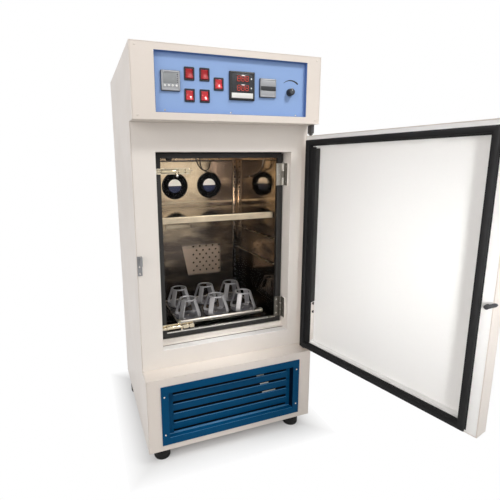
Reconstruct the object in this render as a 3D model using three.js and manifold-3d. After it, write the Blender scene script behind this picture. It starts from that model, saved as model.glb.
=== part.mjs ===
// Incubated shaker cabinet: a tall sheet-steel cabinet on four rubber feet, with a control console,
// an insulated outer door, an inner glass door, a polished chamber with an orbiting flask tray,
// and a machine compartment behind a louvred grille. Millimetres, +X right, +Y to the back, +Z up.
import * as THREE from 'three';
import { mergeVertices } from 'three/addons/utils/BufferGeometryUtils.js';
import Module from 'manifold-3d';

const wasm = await Module();
wasm.setup();

// Cabinet
const cabinetWidth = 544;
const cabinetDepth = 520;
const footHeight = 45;
const baseHeight = 234;
const doorBayHeight = 721;
const consoleHeight = 184;
const bayRecess = 60;
const sheet = 2;
const seam = 0.3;
const overrun = 4;
const roundSides = 24;
const smallSides = 16;
const rodSides = 8;

// Opening in the recessed front, and its jamb
const openingLeft = -206;
const openingRight = 217;
const sillLift = 57;
const headDrop = 78;
const jambDepth = 62;
const thresholdHeight = 14;
const thresholdSetback = 45;

// Chamber
const breakerThickness = 4;
const breakerWidth = 14;
const breakerSillHeight = 9;
const breakerHeadHeight = 4;
const linerSheet = 1.5;
const linerRearGap = 24;
const ductSetback = 30;
const foamRoofThickness = 58;
const railWidth = 6;
const railThickness = 2;
const railPitch = 88;
const railCount = 3;
const shelfDrop = 189.5;
const shelfSheet = 1.5;
const shelfLip = 18;
const shelfSideGap = 1.2;
const shelfFrontGap = 6;

// Circulation fans
const fanSize = 96;
const fanDepth = 25;
const fanBoreRadius = 45.5;
const fanHubRadius = 26;
const fanHubThickness = 4;
const fanWindowRadius = 48.6;
const fanStrutWidth = 4;
const fanPitch = 141;
const fanOffset = 13;
const fanDrop = 112;
const fanShaftRadius = 3;
const fanShaftClearance = 0.6;
const fanBladeCount = 7;
const fanBladeThickness = 2;
const fanBladeTipGap = 1.5;
const fanBladeTilt = 0.6;

// Air return holes in the duct panel
const returnHoleRadius = 4;
const returnHoleSides = 6;
const returnPitchX = 27.6;
const returnPitchZ = 16.7;
const returnColumns = 5;
const returnRows = 7;
const returnOffset = 66;
const returnHeightShare = 0.288;

// Orbiting drive
const spindleX = 0;
const trayForward = 38.15;
const orbitRadius = 12.5;
const motorRadius = 48;
const motorHeight = 138;
const motorFlangeSize = 130;
const motorFlangeThickness = 8;
const spindleTubeRadius = 25;
const spindleTubeClearance = 2;
const spindleTubeStand = 7;
const crankShaftRadius = 10;
const crankDiscRadius = 24;
const crankDiscThickness = 5;
const crankPinRadius = 7;
const turnClearance = 0.5;
const idlerWidthShare = 0.3488;
const idlerDepthShare = 0.3691;
const idlerPostRadius = 14;
const idlerShaftRadius = 5;
const idlerShaftDepth = 8;
const idlerPinRadius = 4;

// Flask tray
const traySideGap = 34.5;
const trayEndGap = 40.85;
const trayThickness = 4;
const trayLift = 33;
const hubDepth = 8;
const hubWall = 5;
const pinEndGap = 1.5;
const trayTubeRadius = 6;
const trayRodRadius = 2.2;
const trayTubeSink = 1;

// Flask clamps
const clampColumns = 3;
const clampRows = 2;
const clampWidthShare = 0.3389;
const clampDepthShare = 0.5633;
const clampRadiusShare = 0.4235;
const clampRingShare = 0.66;
const clampEndGap = 1.5;
const clampBulge = 2.8;
const clampBaseThickness = 2;
const clampRingWall = 7;
const clampRingHeight = 8;
const clampHeight = 66;
const clampShoulder = 11;
const clampLegWidth = 18;
const clampLegThickness = 1.8;
const clampLegs = 4;
const clampTurn = -0.785;

// Refrigeration
const compressorRadius = 74;
const compressorHeight = 158;
const compressorX = 165;
const compressorSetback = 125;
const compressorPlate = 4;
const compressorPlateSize = 170;
const compressorNeckShares = [[1, 0], [1, 0.62], [0.9, 0.82], [0.6, 0.95], [0.2, 1]];
const condenserWidth = 320;
const condenserHeight = 176;
const condenserThickness = 26;
const condenserFrontGap = 26;
const coolerFanSize = 172;
const coolerFanDepth = 34;
const coolerBoreRadius = 80;
const coolerHubRadius = 30;
const coolerHubThickness = 6;
const coolerStrutWidth = 7;
const coolerBladeCount = 5;
const coolerBladeThickness = 2.5;

// Console and its controls
const windowLeft = -212;
const windowRight = 227;
const windowBottomLift = 18.5;
const windowHeight = 147.5;
const fasciaRecess = 11;
const collarWall = 1.5;
const fasciaOverlap = 9;
const smallInstrument = 48;
const largeInstrument = 72;
const instrumentStand = 6;
const instrumentCutGap = 0.4;
const instrumentBodyInset = 1.6;
const instrumentBodyDepth = 62;
const instrumentFaceInset = 4;
const instrumentFaceSink = 1.2;
const controllerX = -169.5;
const controllerLift = 97;
const meterX = 29;
const meterLift = 94.5;
const timerX = 107;
const timerLift = 93;
const keyRadius = 2.6;
const keyGap = 0.35;
const keyStand = 1.4;
const keyLength = 5;
const keyPitch = 10.3;
const keyCount = 4;
const keyDrop = 12;
const keyTravel = 0.8;
const keyPocketDepth = 6;
const rockerWidth = 20;
const rockerHeight = 24;
const rockerSideGap = 0.35;
const rockerEndGap = 1;
const rockerRim = 2.6;
const rockerRimStand = 2.4;
const rockerBellyDepth = 6;
const rockerBellyHeight = 14;
const rockerTip = 3.6;
const rockerWaist = 1;
const rockerTilt = 0.14;
const rockerLeftX = -119;
const rockerMiddleX = -77.5;
const rockerRightX = -38;
const rockerTopLift = 117.5;
const rockerRightLift = 96;
const rockerLowLift = 64;
const knobX = 177;
const knobLift = 85;
const knobRadius = 10.5;
const knobTipRadius = 9;
const knobLength = 17;
const knobShaftRadius = 3;
const knobShaftLength = 12;
const knobShaftGap = 0.4;
const knobFaceGap = 0.8;

// Grille
const grilleLeft = -231;
const grilleRight = 230;
const grilleBottomLift = 19;
const grilleHeight = 190;
const grilleStand = 3;
const grilleBorder = 22;
const grilleThroat = 14;
const grilleSheet = 2;
const grilleMargin = 16;
const bladeCount = 4;
const bladePitch = 30.85;
const bladeHeight = 23.85;
const fieldLift = -2.5;
const bladeSheet = 1.6;
const bladeLean = -2;

// Rear vents and inlet
const ventCount = 6;
const ventWidth = 190;
const ventHeight = 8;
const ventPitch = 20;
const ventLift = 60;
const glandRadius = 10;
const glandLength = 12;
const glandX = -205;
const glandLift = 70;

// Feet
const footRadius = 25.5;
const footToeRadius = 22;
const footToeHeight = 6;
const frontFootInset = 46;
const frontFootSetback = 42;
const rearFootInset = 27;
const rearFootSetback = 95;

// Outer door, modelled closed, then swung open about its pins
const doorOpenAngle = THREE.MathUtils.degToRad(103);
const hingeInset = 7;
const hingeSetback = 30;
const doorBodyDepth = 42;
const doorBottomGap = 7;
const doorTopGap = 32;
const doorEdgeGap = 1;
const doorLinerInset = 24;
const doorLinerSheet = 1.5;
const doorPocketDepth = 17;
const doorPocketSide = 42;
const doorPocketEnd = 30;
const gasketSide = 23;
const gasketBottom = 8;
const gasketTop = 14;
const gasketWidth = 18;
const hingePinRadius = 3.5;
const hingePinGap = 0.5;
const hingePinEngage = 10;
const hingeBlockWidth = 14;
const hingeBlockDepth = 20;
const hingePinShow = 7;
const hingeLowPinShow = 2;

// Outer door latch and keeper
const latchInset = 11.5;
const latchLift = 311;
const latchSpindleRadius = 5;
const latchSpindleGap = 0.6;
const latchBossRadius = 10.5;
const latchBossLength = 14;
const latchArmWidth = 15;
const latchArmLength = 112;
const latchArmThickness = 9;
const latchCamWidth = 8;
const latchCamLength = 22;
const latchCamThickness = 3.5;
const latchCamGap = 6;
const latchTurn = THREE.MathUtils.degToRad(60);
const keeperWidth = 13;
const keeperOutset = 3.5;
const keeperHeight = 56;
const keeperThickness = 2.5;
const keeperDrop = 12;
const keeperHookWidth = 6;
const keeperHookHeight = 26;
const keeperHookThickness = 3;
const keeperCamGap = 1;
const keeperStem = 6;

// Inner glass door
const innerSideGap = 3;
const innerTopGap = 4;
const innerBottomGap = 2;
const innerDepth = 14;
const innerFrameWidth = 19;
const glassThickness = 4;
const glassRebate = 8;
const glassLip = 4;
const leafHeight = 70;
const leafThickness = 2;
const leafWidth = 18;
const knuckleRadius = 4.2;
const knucklePinRadius = 1.8;
const knuckleOffset = 4.5;
const knuckleGap = 0.4;
const knuckleCount = 3;
const upperLeafDrop = 69;
const lowerLeafLift = 71;

// Barrel bolts on the inner door
const boltLength = 102;
const boltPlateHeight = 17;
const boltPlateThickness = 1.5;
const boltRodRadius = 2.7;
const boltRodGap = 0.5;
const boltStand = 7.5;
const boltBackGap = 2;
const barrelRadius = 5.4;
const barrelStart = 17;
const barrelLength = 43;
const boltGuideStart = 68;
const boltGuideLength = 16;
const boltEndLength = 13;
const boltBlockHalf = 6;
const boltTravel = 12;
const boltTipShow = 1;
const boltKnobRadius = 3;
const boltKnobLength = 14;
const upperBoltDrop = 54;
const lowerBoltLift = 53;
const keeperHoleGap = 2.3;
const keeperPocket = 14;

// Derived planes and edges
const halfWidth = cabinetWidth / 2;
const insideHalf = halfWidth - sheet - seam;
const baseTop = footHeight + baseHeight;
const consoleBottom = baseTop + doorBayHeight;
const cabinetTop = consoleBottom + consoleHeight;
const openingBottom = baseTop + sillLift;
const openingTop = consoleBottom - headDrop;
const jambBack = bayRecess + jambDepth + sheet;
const innerPlane = bayRecess + thresholdSetback;
const breakerFront = jambBack - breakerThickness;
const linerFront = jambBack + seam;
const linerLeft = openingLeft + breakerWidth;
const linerRight = openingRight - breakerWidth;
const linerBottom = openingBottom + breakerSillHeight;
const linerTop = openingTop - breakerHeadHeight;
const linerBack = cabinetDepth - linerRearGap - sheet;
const ductPlane = linerBack - ductSetback;
const chamberHeight = linerTop - linerBottom;
const shelfTop = linerTop - shelfDrop;
const fanZ = linerTop - fanDrop;
const trayTop = linerBottom + trayLift;
const trayWidth = linerRight - linerLeft - 2 * (orbitRadius + traySideGap);
const trayDepth = ductPlane - linerFront - 2 * (orbitRadius + trayEndGap);
const spindleY = (linerFront + ductPlane) / 2 - trayForward;
const clampPitchX = trayWidth * clampWidthShare;
const trayClearDepth = trayDepth - 2 * (trayTubeRadius + trayRodRadius);
const clampPitchY = trayClearDepth * clampDepthShare;
const clampEndRoom = (trayClearDepth - clampPitchY) / 2 - clampEndGap;
const clampBaseRadius = Math.min(clampPitchX * clampRadiusShare, clampEndRoom);
const clampRingRadius = clampBaseRadius * clampRingShare;
const deckTop = baseTop;
const floorTop = footHeight + sheet;
const windowBottom = consoleBottom + windowBottomLift;
const windowTop = windowBottom + windowHeight;

const paint = (color, roughness = 0.5, metalness = 0) =>
  new THREE.MeshStandardMaterial({ color, roughness, metalness });

const look = {
  cream: () => paint(0xe6ddd6, 0.42),
  white: () => paint(0xf2f1ee, 0.4),
  foam: () => paint(0xe8d9a0, 0.9),
  steel: () => paint(0xb9b3aa, 0.16, 1),
  clampSteel: () => paint(0xa9a9a9, 0.3, 1),
  frame: () => paint(0x33363a, 0.5, 0.3),
  black: () => paint(0x161616, 0.55),
  rubber: () => paint(0x101010, 0.85),
  fascia: () => paint(0x86a9e2, 0.5),
  grille: () => paint(0x0b4c74, 0.45),
  red: () => paint(0xb8101c, 0.35),
  silver: () => paint(0xa2a4a6, 0.45),
  brass: () => paint(0xc9a25a, 0.28, 1),
  keeper: () => paint(0x4a4a4c, 0.45, 0.8),
  glass: () => new THREE.MeshStandardMaterial({
    color: 0xdfe8e6, roughness: 0.05, transparent: true, opacity: 0.25,
  }),
  motor: () => paint(0x3a3f45, 0.5, 0.4),
  copper: () => paint(0x8f8f8f, 0.5, 0.7),
};

// Solids between two planes on each axis
function slab(x0, x1, y0, y1, z0, z1) {
  const block = new THREE.BoxGeometry(x1 - x0, y1 - y0, z1 - z0);
  block.translate((x0 + x1) / 2, (y0 + y1) / 2, (z0 + z1) / 2);
  return block;
}

function rodZ(x, y, z0, z1, radius, sides = roundSides, topRadius = radius) {
  const round = new THREE.CylinderGeometry(topRadius, radius, z1 - z0, sides);
  round.rotateX(Math.PI / 2);
  round.translate(x, y, (z0 + z1) / 2);
  return round;
}

function rodY(x, z, y0, y1, radius, sides = roundSides, backRadius = radius) {
  const round = new THREE.CylinderGeometry(backRadius, radius, y1 - y0, sides);
  round.translate(x, (y0 + y1) / 2, z);
  return round;
}

function rodX(y, z, x0, x1, radius, sides = roundSides) {
  const round = new THREE.CylinderGeometry(radius, radius, x1 - x0, sides);
  round.rotateZ(Math.PI / 2);
  round.translate((x0 + x1) / 2, y, z);
  return round;
}

function shapeOf(points) {
  return new THREE.Shape(points.map(([a, b]) => new THREE.Vector2(a, b)));
}

// An outline in Y and Z, pushed along X
function prismX(points, x0, x1) {
  const solidShape = new THREE.ExtrudeGeometry(shapeOf(points), { depth: x1 - x0, bevelEnabled: false });
  const turn = new THREE.Matrix4().set(0, 0, 1, x0, 1, 0, 0, 0, 0, 1, 0, 0, 0, 0, 0, 1);
  return solidShape.applyMatrix4(turn);
}

function solid(geometry) {
  const bare = geometry.clone();
  bare.deleteAttribute('normal');
  bare.deleteAttribute('uv');
  const merged = mergeVertices(bare);
  return new wasm.Manifold(new wasm.Mesh({
    numProp: 3,
    vertProperties: merged.attributes.position.array,
    triVerts: Uint32Array.from(merged.index.array),
  }));
}

function geometryOf(manifold) {
  const mesh = manifold.getMesh();
  const geometry = new THREE.BufferGeometry();
  geometry.setAttribute('position', new THREE.BufferAttribute(mesh.vertProperties, 3));
  geometry.setIndex(new THREE.BufferAttribute(mesh.triVerts, 1));
  geometry.computeVertexNormals();
  return geometry;
}

// The pieces joined, less the cutters
function build(pieces, cutters = []) {
  let body = solid(pieces[0]);
  for (const piece of pieces.slice(1)) body = body.add(solid(piece));
  for (const cutter of cutters) body = body.subtract(solid(cutter));
  return geometryOf(body);
}

const machine = new THREE.Group();

function add(name, geometry, material, parent = machine) {
  const mesh = new THREE.Mesh(geometry, material);
  mesh.name = name;
  parent.add(mesh);
  return mesh;
}

// Cabinet shell: both C-shaped sides and the top in one folded sheet
add('cabinet_shell', build([
  slab(-halfWidth, halfWidth, 0, cabinetDepth, footHeight, cabinetTop),
], [
  slab(sheet - halfWidth, halfWidth - sheet, -overrun, cabinetDepth + overrun,
    footHeight - overrun, cabinetTop - sheet),
  slab(-halfWidth - overrun, halfWidth + overrun, -overrun, bayRecess, baseTop, consoleBottom),
]), look.cream());

const vents = [];
for (let i = 0; i < ventCount; i += 1) {
  const z = footHeight + ventLift + i * ventPitch;
  vents.push(slab(-ventWidth / 2, ventWidth / 2, cabinetDepth - sheet - overrun,
    cabinetDepth + overrun, z, z + ventHeight));
}
const rearFace = cabinetDepth - sheet;
const glandZ = footHeight + glandLift;
add('rear_panel', build([
  slab(-insideHalf, insideHalf, rearFace, cabinetDepth, floorTop + seam, cabinetTop - sheet - seam),
  rodY(glandX, glandZ, rearFace, cabinetDepth + glandLength, glandRadius, smallSides),
], vents), look.cream());

add('base_pan', build([
  slab(-insideHalf, insideHalf, sheet + seam, cabinetDepth, footHeight, floorTop),
]), look.cream());

// Base front with the ledge that runs back as the machine deck
const grilleBottom = footHeight + grilleBottomLift;
const grilleTop = grilleBottom + grilleHeight;
const throatLeft = grilleLeft + grilleBorder;
const throatRight = grilleRight - grilleBorder;
const throatBottom = grilleBottom + grilleBorder;
const throatTop = grilleTop - grilleBorder;
const deckHole = spindleTubeRadius + spindleTubeClearance;
const throatReach = grilleSheet + seam;
add('base_front', build([
  slab(-insideHalf, insideHalf, 0, sheet, footHeight, baseTop),
  slab(-insideHalf, insideHalf, 0, rearFace - seam, deckTop - sheet, deckTop),
], [
  slab(throatLeft - throatReach, throatRight + throatReach, -overrun, sheet + overrun,
    throatBottom - throatReach, throatTop + throatReach),
  rodZ(spindleX, spindleY, deckTop - sheet - overrun, deckTop + overrun, deckHole),
]), look.cream());

// Louvred grille: flange, throat, back panel and leaning blades
const fieldLeft = throatLeft + grilleMargin;
const fieldRight = throatRight - grilleMargin;
const fieldMiddle = (throatBottom + throatTop) / 2 + fieldLift;
const fieldHalf = ((bladeCount + 1) * bladePitch - bladeHeight) / 2;
const throatBack = grilleThroat + grilleSheet;
const blades = [];
for (let i = 0; i < bladeCount; i += 1) {
  const z = fieldMiddle + (i - (bladeCount - 1) / 2) * bladePitch;
  const low = z - bladeHeight / 2;
  const high = z + bladeHeight / 2;
  const front = grilleThroat - bladeLean / 2;
  const back = grilleThroat + bladeLean / 2;
  blades.push(prismX([
    [front, low],
    [front + bladeSheet, low],
    [back + bladeSheet, high],
    [back, high],
  ], fieldLeft - bladeSheet, fieldRight + bladeSheet));
}
const louvreShell = build([
  slab(grilleLeft, grilleRight, -grilleStand, -seam, grilleBottom, grilleTop),
  slab(throatLeft - grilleSheet, throatRight + grilleSheet, -grilleStand, throatBack,
    throatBottom - grilleSheet, throatTop + grilleSheet),
], [
  slab(throatLeft, throatRight, -grilleStand - overrun, grilleThroat, throatBottom, throatTop),
  slab(fieldLeft, fieldRight, 0, throatBack + overrun, fieldMiddle - fieldHalf, fieldMiddle + fieldHalf),
]);
add('louvre_grille', build([louvreShell, ...blades]), look.grille());

// Recessed front with its opening, jamb, threshold and the fixed hinge leaves
const pinX = openingRight - knuckleOffset;
const pinY = innerPlane - knuckleOffset;
const upperLeafTop = openingTop - upperLeafDrop + leafHeight / 2;
const lowerLeafTop = openingBottom + lowerLeafLift + leafHeight / 2;
const leafTops = [upperLeafTop, lowerLeafTop];
const third = leafHeight / knuckleCount;

const fixedLeaves = [];
for (const top of leafTops) {
  const low = top - leafHeight;
  const middleLow = low + third + knuckleGap;
  const middleHigh = top - third - knuckleGap;
  const leafFront = pinY - leafWidth - knuckleRadius;
  const leafBack = pinY - knuckleRadius - knuckleGap;
  const leafLeft = openingRight - leafThickness;
  const leafRight = openingRight + sheet / 2;
  fixedLeaves.push(slab(leafLeft, leafRight, leafFront, leafBack, low, top));
  fixedLeaves.push(slab(leafLeft, leafRight, leafFront, pinY, middleLow, middleHigh));
  fixedLeaves.push(rodZ(pinX, pinY, middleLow, middleHigh, knuckleRadius, smallSides));
  fixedLeaves.push(rodZ(pinX, pinY, low, top, knucklePinRadius, smallSides));
}

const boltY = innerPlane - boltStand;
const upperBoltZ = openingTop - upperBoltDrop;
const lowerBoltZ = openingBottom + lowerBoltLift;
const boltHeights = [upperBoltZ, lowerBoltZ];
const keeperHoles = boltHeights.map((z) => rodX(boltY, z, openingLeft - sheet - overrun,
  openingLeft + overrun, boltRodRadius + keeperHoleGap, smallSides));
const latchX = latchInset - halfWidth;
const latchZ = baseTop + latchLift;

const recessedFront = build([
  slab(-insideHalf, insideHalf, bayRecess, bayRecess + sheet, baseTop + seam, consoleBottom - seam),
  slab(openingLeft - sheet, openingRight + sheet, bayRecess, jambBack,
    openingBottom - sheet, openingTop + sheet),
], [
  slab(openingLeft, openingRight, bayRecess - overrun, jambBack + overrun, openingBottom, openingTop),
  ...keeperHoles,
]);
add('front_frame', build([
  recessedFront,
  slab(openingLeft - sheet / 2, openingRight + sheet / 2, innerPlane, innerPlane + innerDepth,
    openingBottom - sheet / 2, openingBottom + thresholdHeight),
  ...fixedLeaves,
]), look.cream());

// Console: front with its window, the collar behind the window and the soffit over the door bay
add('console_front', build([
  slab(-insideHalf, insideHalf, 0, sheet, consoleBottom, cabinetTop - sheet - seam),
  slab(-insideHalf, insideHalf, 0, bayRecess + sheet, consoleBottom, consoleBottom + sheet),
  slab(windowLeft - collarWall, windowRight + collarWall, 0, fasciaRecess,
    windowBottom - collarWall, windowTop + collarWall),
], [
  slab(windowLeft, windowRight, -overrun, fasciaRecess + overrun, windowBottom, windowTop),
]), look.cream());

// Fascia plate with raised switch rims and cut-outs
const fasciaFace = fasciaRecess + seam;
const fasciaBack = fasciaFace + sheet;
const rockers = [
  { x: rockerLeftX, z: consoleBottom + rockerTopLift },
  { x: rockerMiddleX, z: consoleBottom + rockerTopLift },
  { x: rockerRightX, z: consoleBottom + rockerRightLift },
  { x: rockerLeftX, z: consoleBottom + rockerLowLift },
  { x: rockerMiddleX, z: consoleBottom + rockerLowLift },
];
const instruments = [
  ['temperature_controller', controllerX, controllerLift, smallInstrument, look.silver],
  ['speed_meter', meterX, meterLift, largeInstrument, look.black],
  ['process_timer', timerX, timerLift, smallInstrument, look.silver],
];
const knobZ = consoleBottom + knobLift;
const square = (x, z, half, y0, y1) => slab(x - half, x + half, y0, y1, z - half, z + half);
const fasciaParts = [
  slab(windowLeft - fasciaOverlap, windowRight + fasciaOverlap, fasciaFace, fasciaBack,
    windowBottom - fasciaOverlap, windowTop + fasciaOverlap),
];
const fasciaCuts = [
  rodY(knobX, knobZ, fasciaFace - overrun, fasciaBack + overrun, knobShaftRadius + knobShaftGap),
];
const holeHalfX = rockerWidth / 2 + rockerSideGap;
const holeHalfZ = rockerHeight / 2 + rockerEndGap;
for (const { x, z } of rockers) {
  const rimHalfX = holeHalfX + rockerRim;
  const rimHalfZ = holeHalfZ + rockerRim;
  fasciaParts.push(slab(x - rimHalfX, x + rimHalfX, fasciaFace - rockerRimStand, fasciaBack,
    z - rimHalfZ, z + rimHalfZ));
  fasciaCuts.push(slab(x - holeHalfX, x + holeHalfX, -overrun, fasciaBack + overrun,
    z - holeHalfZ, z + holeHalfZ));
}
for (const [, x, lift, size] of instruments) {
  const z = consoleBottom + lift;
  const half = size / 2 - instrumentBodyInset + instrumentCutGap;
  fasciaCuts.push(square(x, z, half, fasciaFace - overrun, fasciaBack + overrun));
}
add('control_fascia', build(fasciaParts, fasciaCuts), look.fascia());

// Panel instruments: bezel in front of the fascia, body behind it, keys on the controller
for (const [name, x, lift, size, skin] of instruments) {
  const z = consoleBottom + lift;
  const half = size / 2;
  const front = fasciaFace - instrumentStand;
  const cuts = [square(x, z, half - instrumentFaceInset, front - overrun, front + instrumentFaceSink)];
  if (name === 'temperature_controller') {
    for (let i = 0; i < keyCount; i += 1) {
      const keyX = x + (i - (keyCount - 1) / 2) * keyPitch;
      const keyZ = z - keyDrop;
      const keyFront = front - keyStand + instrumentFaceSink;
      cuts.push(rodY(keyX, keyZ, front - overrun, front + keyPocketDepth, keyRadius + keyGap, smallSides));
      add(`controller_key_${i + 1}`, rodY(keyX, keyZ, keyFront, keyFront + keyLength, keyRadius, smallSides),
        look.white());
    }
  }
  add(name, build([
    square(x, z, half, front, fasciaFace - seam),
    square(x, z, half - instrumentBodyInset, front, fasciaBack + instrumentBodyDepth),
  ], cuts), skin());
}

// Rocker switches: a waisted paddle that tilts about its middle
rockers.forEach(({ x, z }, index) => {
  const halfHeight = rockerHeight / 2;
  const outline = [
    [-rockerTip, halfHeight],
    [-rockerWaist, 0],
    [-rockerTip, -halfHeight],
    [rockerWaist, -halfHeight],
    [rockerBellyDepth, -rockerBellyHeight / 2],
    [rockerBellyDepth, rockerBellyHeight / 2],
    [rockerWaist, halfHeight],
  ];
  const paddle = prismX(outline, -rockerWidth / 2, rockerWidth / 2);
  const mesh = add(`rocker_${index + 1}`, build([paddle]), look.red());
  mesh.position.set(x, fasciaFace, z);
  mesh.rotation.x = -rockerTilt;
});

// Speed knob on its spindle
const knobBack = fasciaFace - knobFaceGap;
add('speed_knob', build([
  rodY(knobX, knobZ, knobBack - knobLength, knobBack, knobTipRadius, roundSides, knobRadius),
  rodY(knobX, knobZ, knobBack - overrun, fasciaBack + knobShaftLength, knobShaftRadius, smallSides),
]), look.black());

// Chamber: breaker frame, polished liner with shelf rails and the idler post, foam round it
add('breaker_frame', build([
  slab(openingLeft + seam, openingRight - seam, breakerFront, jambBack,
    openingBottom + seam, openingTop - seam),
], [
  slab(linerLeft, linerRight, breakerFront - overrun, jambBack + overrun, linerBottom, linerTop),
]), look.black());

const idlerPostTop = linerBottom + spindleTubeStand + crankDiscThickness / 2;
const idlerPlaceX = spindleX + trayWidth * idlerWidthShare;
const idlerPlaceY = spindleY + trayDepth * idlerDepthShare;
const discBottom = idlerPostTop + turnClearance;
const discTop = discBottom + crankDiscThickness;
const shelfRails = [];
const railFront = linerFront + shelfFrontGap;
const railBack = ductPlane - shelfFrontGap;
for (let i = 0; i < railCount; i += 1) {
  const top = shelfTop - shelfSheet - seam - i * railPitch;
  const low = top - railThickness;
  shelfRails.push(slab(linerLeft - linerSheet / 2, linerLeft + railWidth, railFront, railBack, low, top));
  shelfRails.push(slab(linerRight - railWidth, linerRight + linerSheet / 2, railFront, railBack, low, top));
}
const linerShell = build([
  slab(linerLeft - linerSheet, linerRight + linerSheet, linerFront, linerBack + linerSheet,
    linerBottom - linerSheet, linerTop + linerSheet),
], [
  slab(linerLeft, linerRight, linerFront - overrun, linerBack, linerBottom, linerTop),
  rodZ(spindleX, spindleY, linerBottom - linerSheet - overrun, linerBottom + overrun, deckHole),
]);
add('chamber_liner', build([
  linerShell,
  ...shelfRails,
  rodZ(idlerPlaceX, idlerPlaceY, linerBottom - linerSheet / 2, idlerPostTop, idlerPostRadius),
], [
  rodZ(idlerPlaceX, idlerPlaceY, idlerPostTop - idlerShaftDepth - turnClearance, idlerPostTop + overrun,
    idlerShaftRadius + turnClearance),
]), look.steel());

const linerReach = linerSheet + seam;
const foamTop = linerTop + linerSheet + foamRoofThickness;
add('insulation', build([
  slab(-insideHalf, insideHalf, bayRecess + sheet + seam, rearFace - seam, deckTop + seam, foamTop),
], [
  slab(openingLeft - sheet - seam, openingRight + sheet + seam, bayRecess - overrun, linerFront,
    openingBottom - sheet - seam, openingTop + sheet + seam),
  slab(linerLeft - linerReach, linerRight + linerReach, bayRecess, linerBack + linerReach,
    linerBottom - linerReach, linerTop + linerReach),
  rodZ(spindleX, spindleY, deckTop - overrun, linerBottom, deckHole),
  ...boltHeights.map((z) => rodX(boltY, z, openingLeft - keeperPocket, openingLeft,
    boltRodRadius + keeperHoleGap, smallSides)),
]), look.foam());

// Duct panel across the rear of the chamber, with fan windows and air return holes
const ductLeft = linerLeft + 2 * shelfSideGap;
const ductRight = linerRight - 2 * shelfSideGap;
const fanPlaces = [fanOffset - fanPitch / 2, fanOffset + fanPitch / 2];
const returnHoles = [];
for (let row = 0; row < returnRows; row += 1) {
  const shift = (row % 2) / 2;
  const count = returnColumns - (row % 2);
  for (let column = 0; column < count; column += 1) {
    const x = returnOffset + (column + shift - (returnColumns - 1) / 2) * returnPitchX;
    const z = linerBottom + chamberHeight * returnHeightShare + (row - (returnRows - 1) / 2) * returnPitchZ;
    returnHoles.push(rodY(x, z, ductPlane - overrun, ductPlane + overrun, returnHoleRadius, returnHoleSides));
  }
}
const ductBack = ductPlane + linerSheet;
add('duct_panel', build([
  slab(ductLeft, ductRight, ductPlane, ductBack, linerBottom + seam, linerTop - seam),
  slab(ductLeft, ductLeft + linerSheet, ductPlane, linerBack - seam, linerBottom + seam, linerTop - seam),
  slab(ductRight - linerSheet, ductRight, ductPlane, linerBack - seam, linerBottom + seam, linerTop - seam),
], [
  ...fanPlaces.map((x) => rodY(x, fanZ, ductPlane - overrun, ductBack + overrun, fanWindowRadius)),
  ...returnHoles,
]), look.steel());

// A square axial fan frame: bore, hub plate and struts on the front side
function fanFrame({ x, z, front, size, depth, bore, hub, hubThickness, strut, extra = [] }) {
  const half = size / 2;
  const ring = build([slab(x - half, x + half, front, front + depth, z - half, z + half), ...extra],
    [rodY(x, z, front - overrun, front + depth + overrun, bore)]);
  const arms = [];
  for (let i = 0; i < 2; i += 1) {
    const arm = slab(-bore - strut / 2, bore + strut / 2, front, front + hubThickness, -strut / 2, strut / 2);
    arm.rotateY(Math.PI / 4 + i * Math.PI / 2);
    arm.translate(x, 0, z);
    arms.push(arm);
  }
  const shaftWay = fanShaftRadius + fanShaftClearance;
  return build([ring, rodY(x, z, front, front + hubThickness, hub), ...arms], [
    rodY(x, z, front + hubThickness / 2, front + depth + overrun, shaftWay, smallSides),
  ]);
}

// Its rotor: hub, tilted blades and a shaft that runs in the hub plate
function fanRotor({ x, z, front, depth, bore, hub, hubThickness, blades: count, thickness }) {
  const hubFront = front + hubThickness + fanShaftClearance;
  const hubBack = front + depth - fanShaftClearance;
  const span = (hubBack - hubFront) / 2;
  const parts = [
    rodY(x, z, hubFront, hubBack, hub),
    rodY(x, z, front + hubThickness / 2 + fanShaftClearance, hubFront + span, fanShaftRadius, smallSides),
  ];
  const reach = bore - fanBladeTipGap;
  for (let i = 0; i < count; i += 1) {
    const blade = slab(hub - thickness, reach, -span, span, -thickness / 2, thickness / 2);
    blade.rotateX(fanBladeTilt);
    blade.rotateY(i * 2 * Math.PI / count);
    blade.translate(x, (hubFront + hubBack) / 2, z);
    parts.push(blade);
  }
  return build(parts, [
    slab(x - reach - overrun, x + reach + overrun, front + depth - fanShaftClearance, front + 2 * depth,
      z - reach - overrun, z + reach + overrun),
  ]);
}

fanPlaces.forEach((x, index) => {
  const spec = {
    x,
    z: fanZ,
    front: ductBack + seam,
    size: fanSize,
    depth: fanDepth,
    bore: fanBoreRadius,
    hub: fanHubRadius,
    hubThickness: fanHubThickness,
    strut: fanStrutWidth,
    blades: fanBladeCount,
    thickness: fanBladeThickness,
  };
  add(`chamber_fan_frame_${index + 1}`, fanFrame(spec), look.black());
  add(`chamber_fan_rotor_${index + 1}`, fanRotor(spec), look.black());
});

// Shelf with a turned-down front lip, resting on the top pair of rails
const shelfFront = linerFront + shelfFrontGap;
add('chamber_shelf', build([
  slab(linerLeft + shelfSideGap, linerRight - shelfSideGap, shelfFront, ductPlane - shelfSideGap,
    shelfTop - shelfSheet, shelfTop),
  slab(linerLeft + railWidth + shelfSideGap, linerRight - railWidth - shelfSideGap,
    shelfFront, shelfFront + shelfSheet, shelfTop - shelfLip, shelfTop),
]), look.steel());

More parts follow.
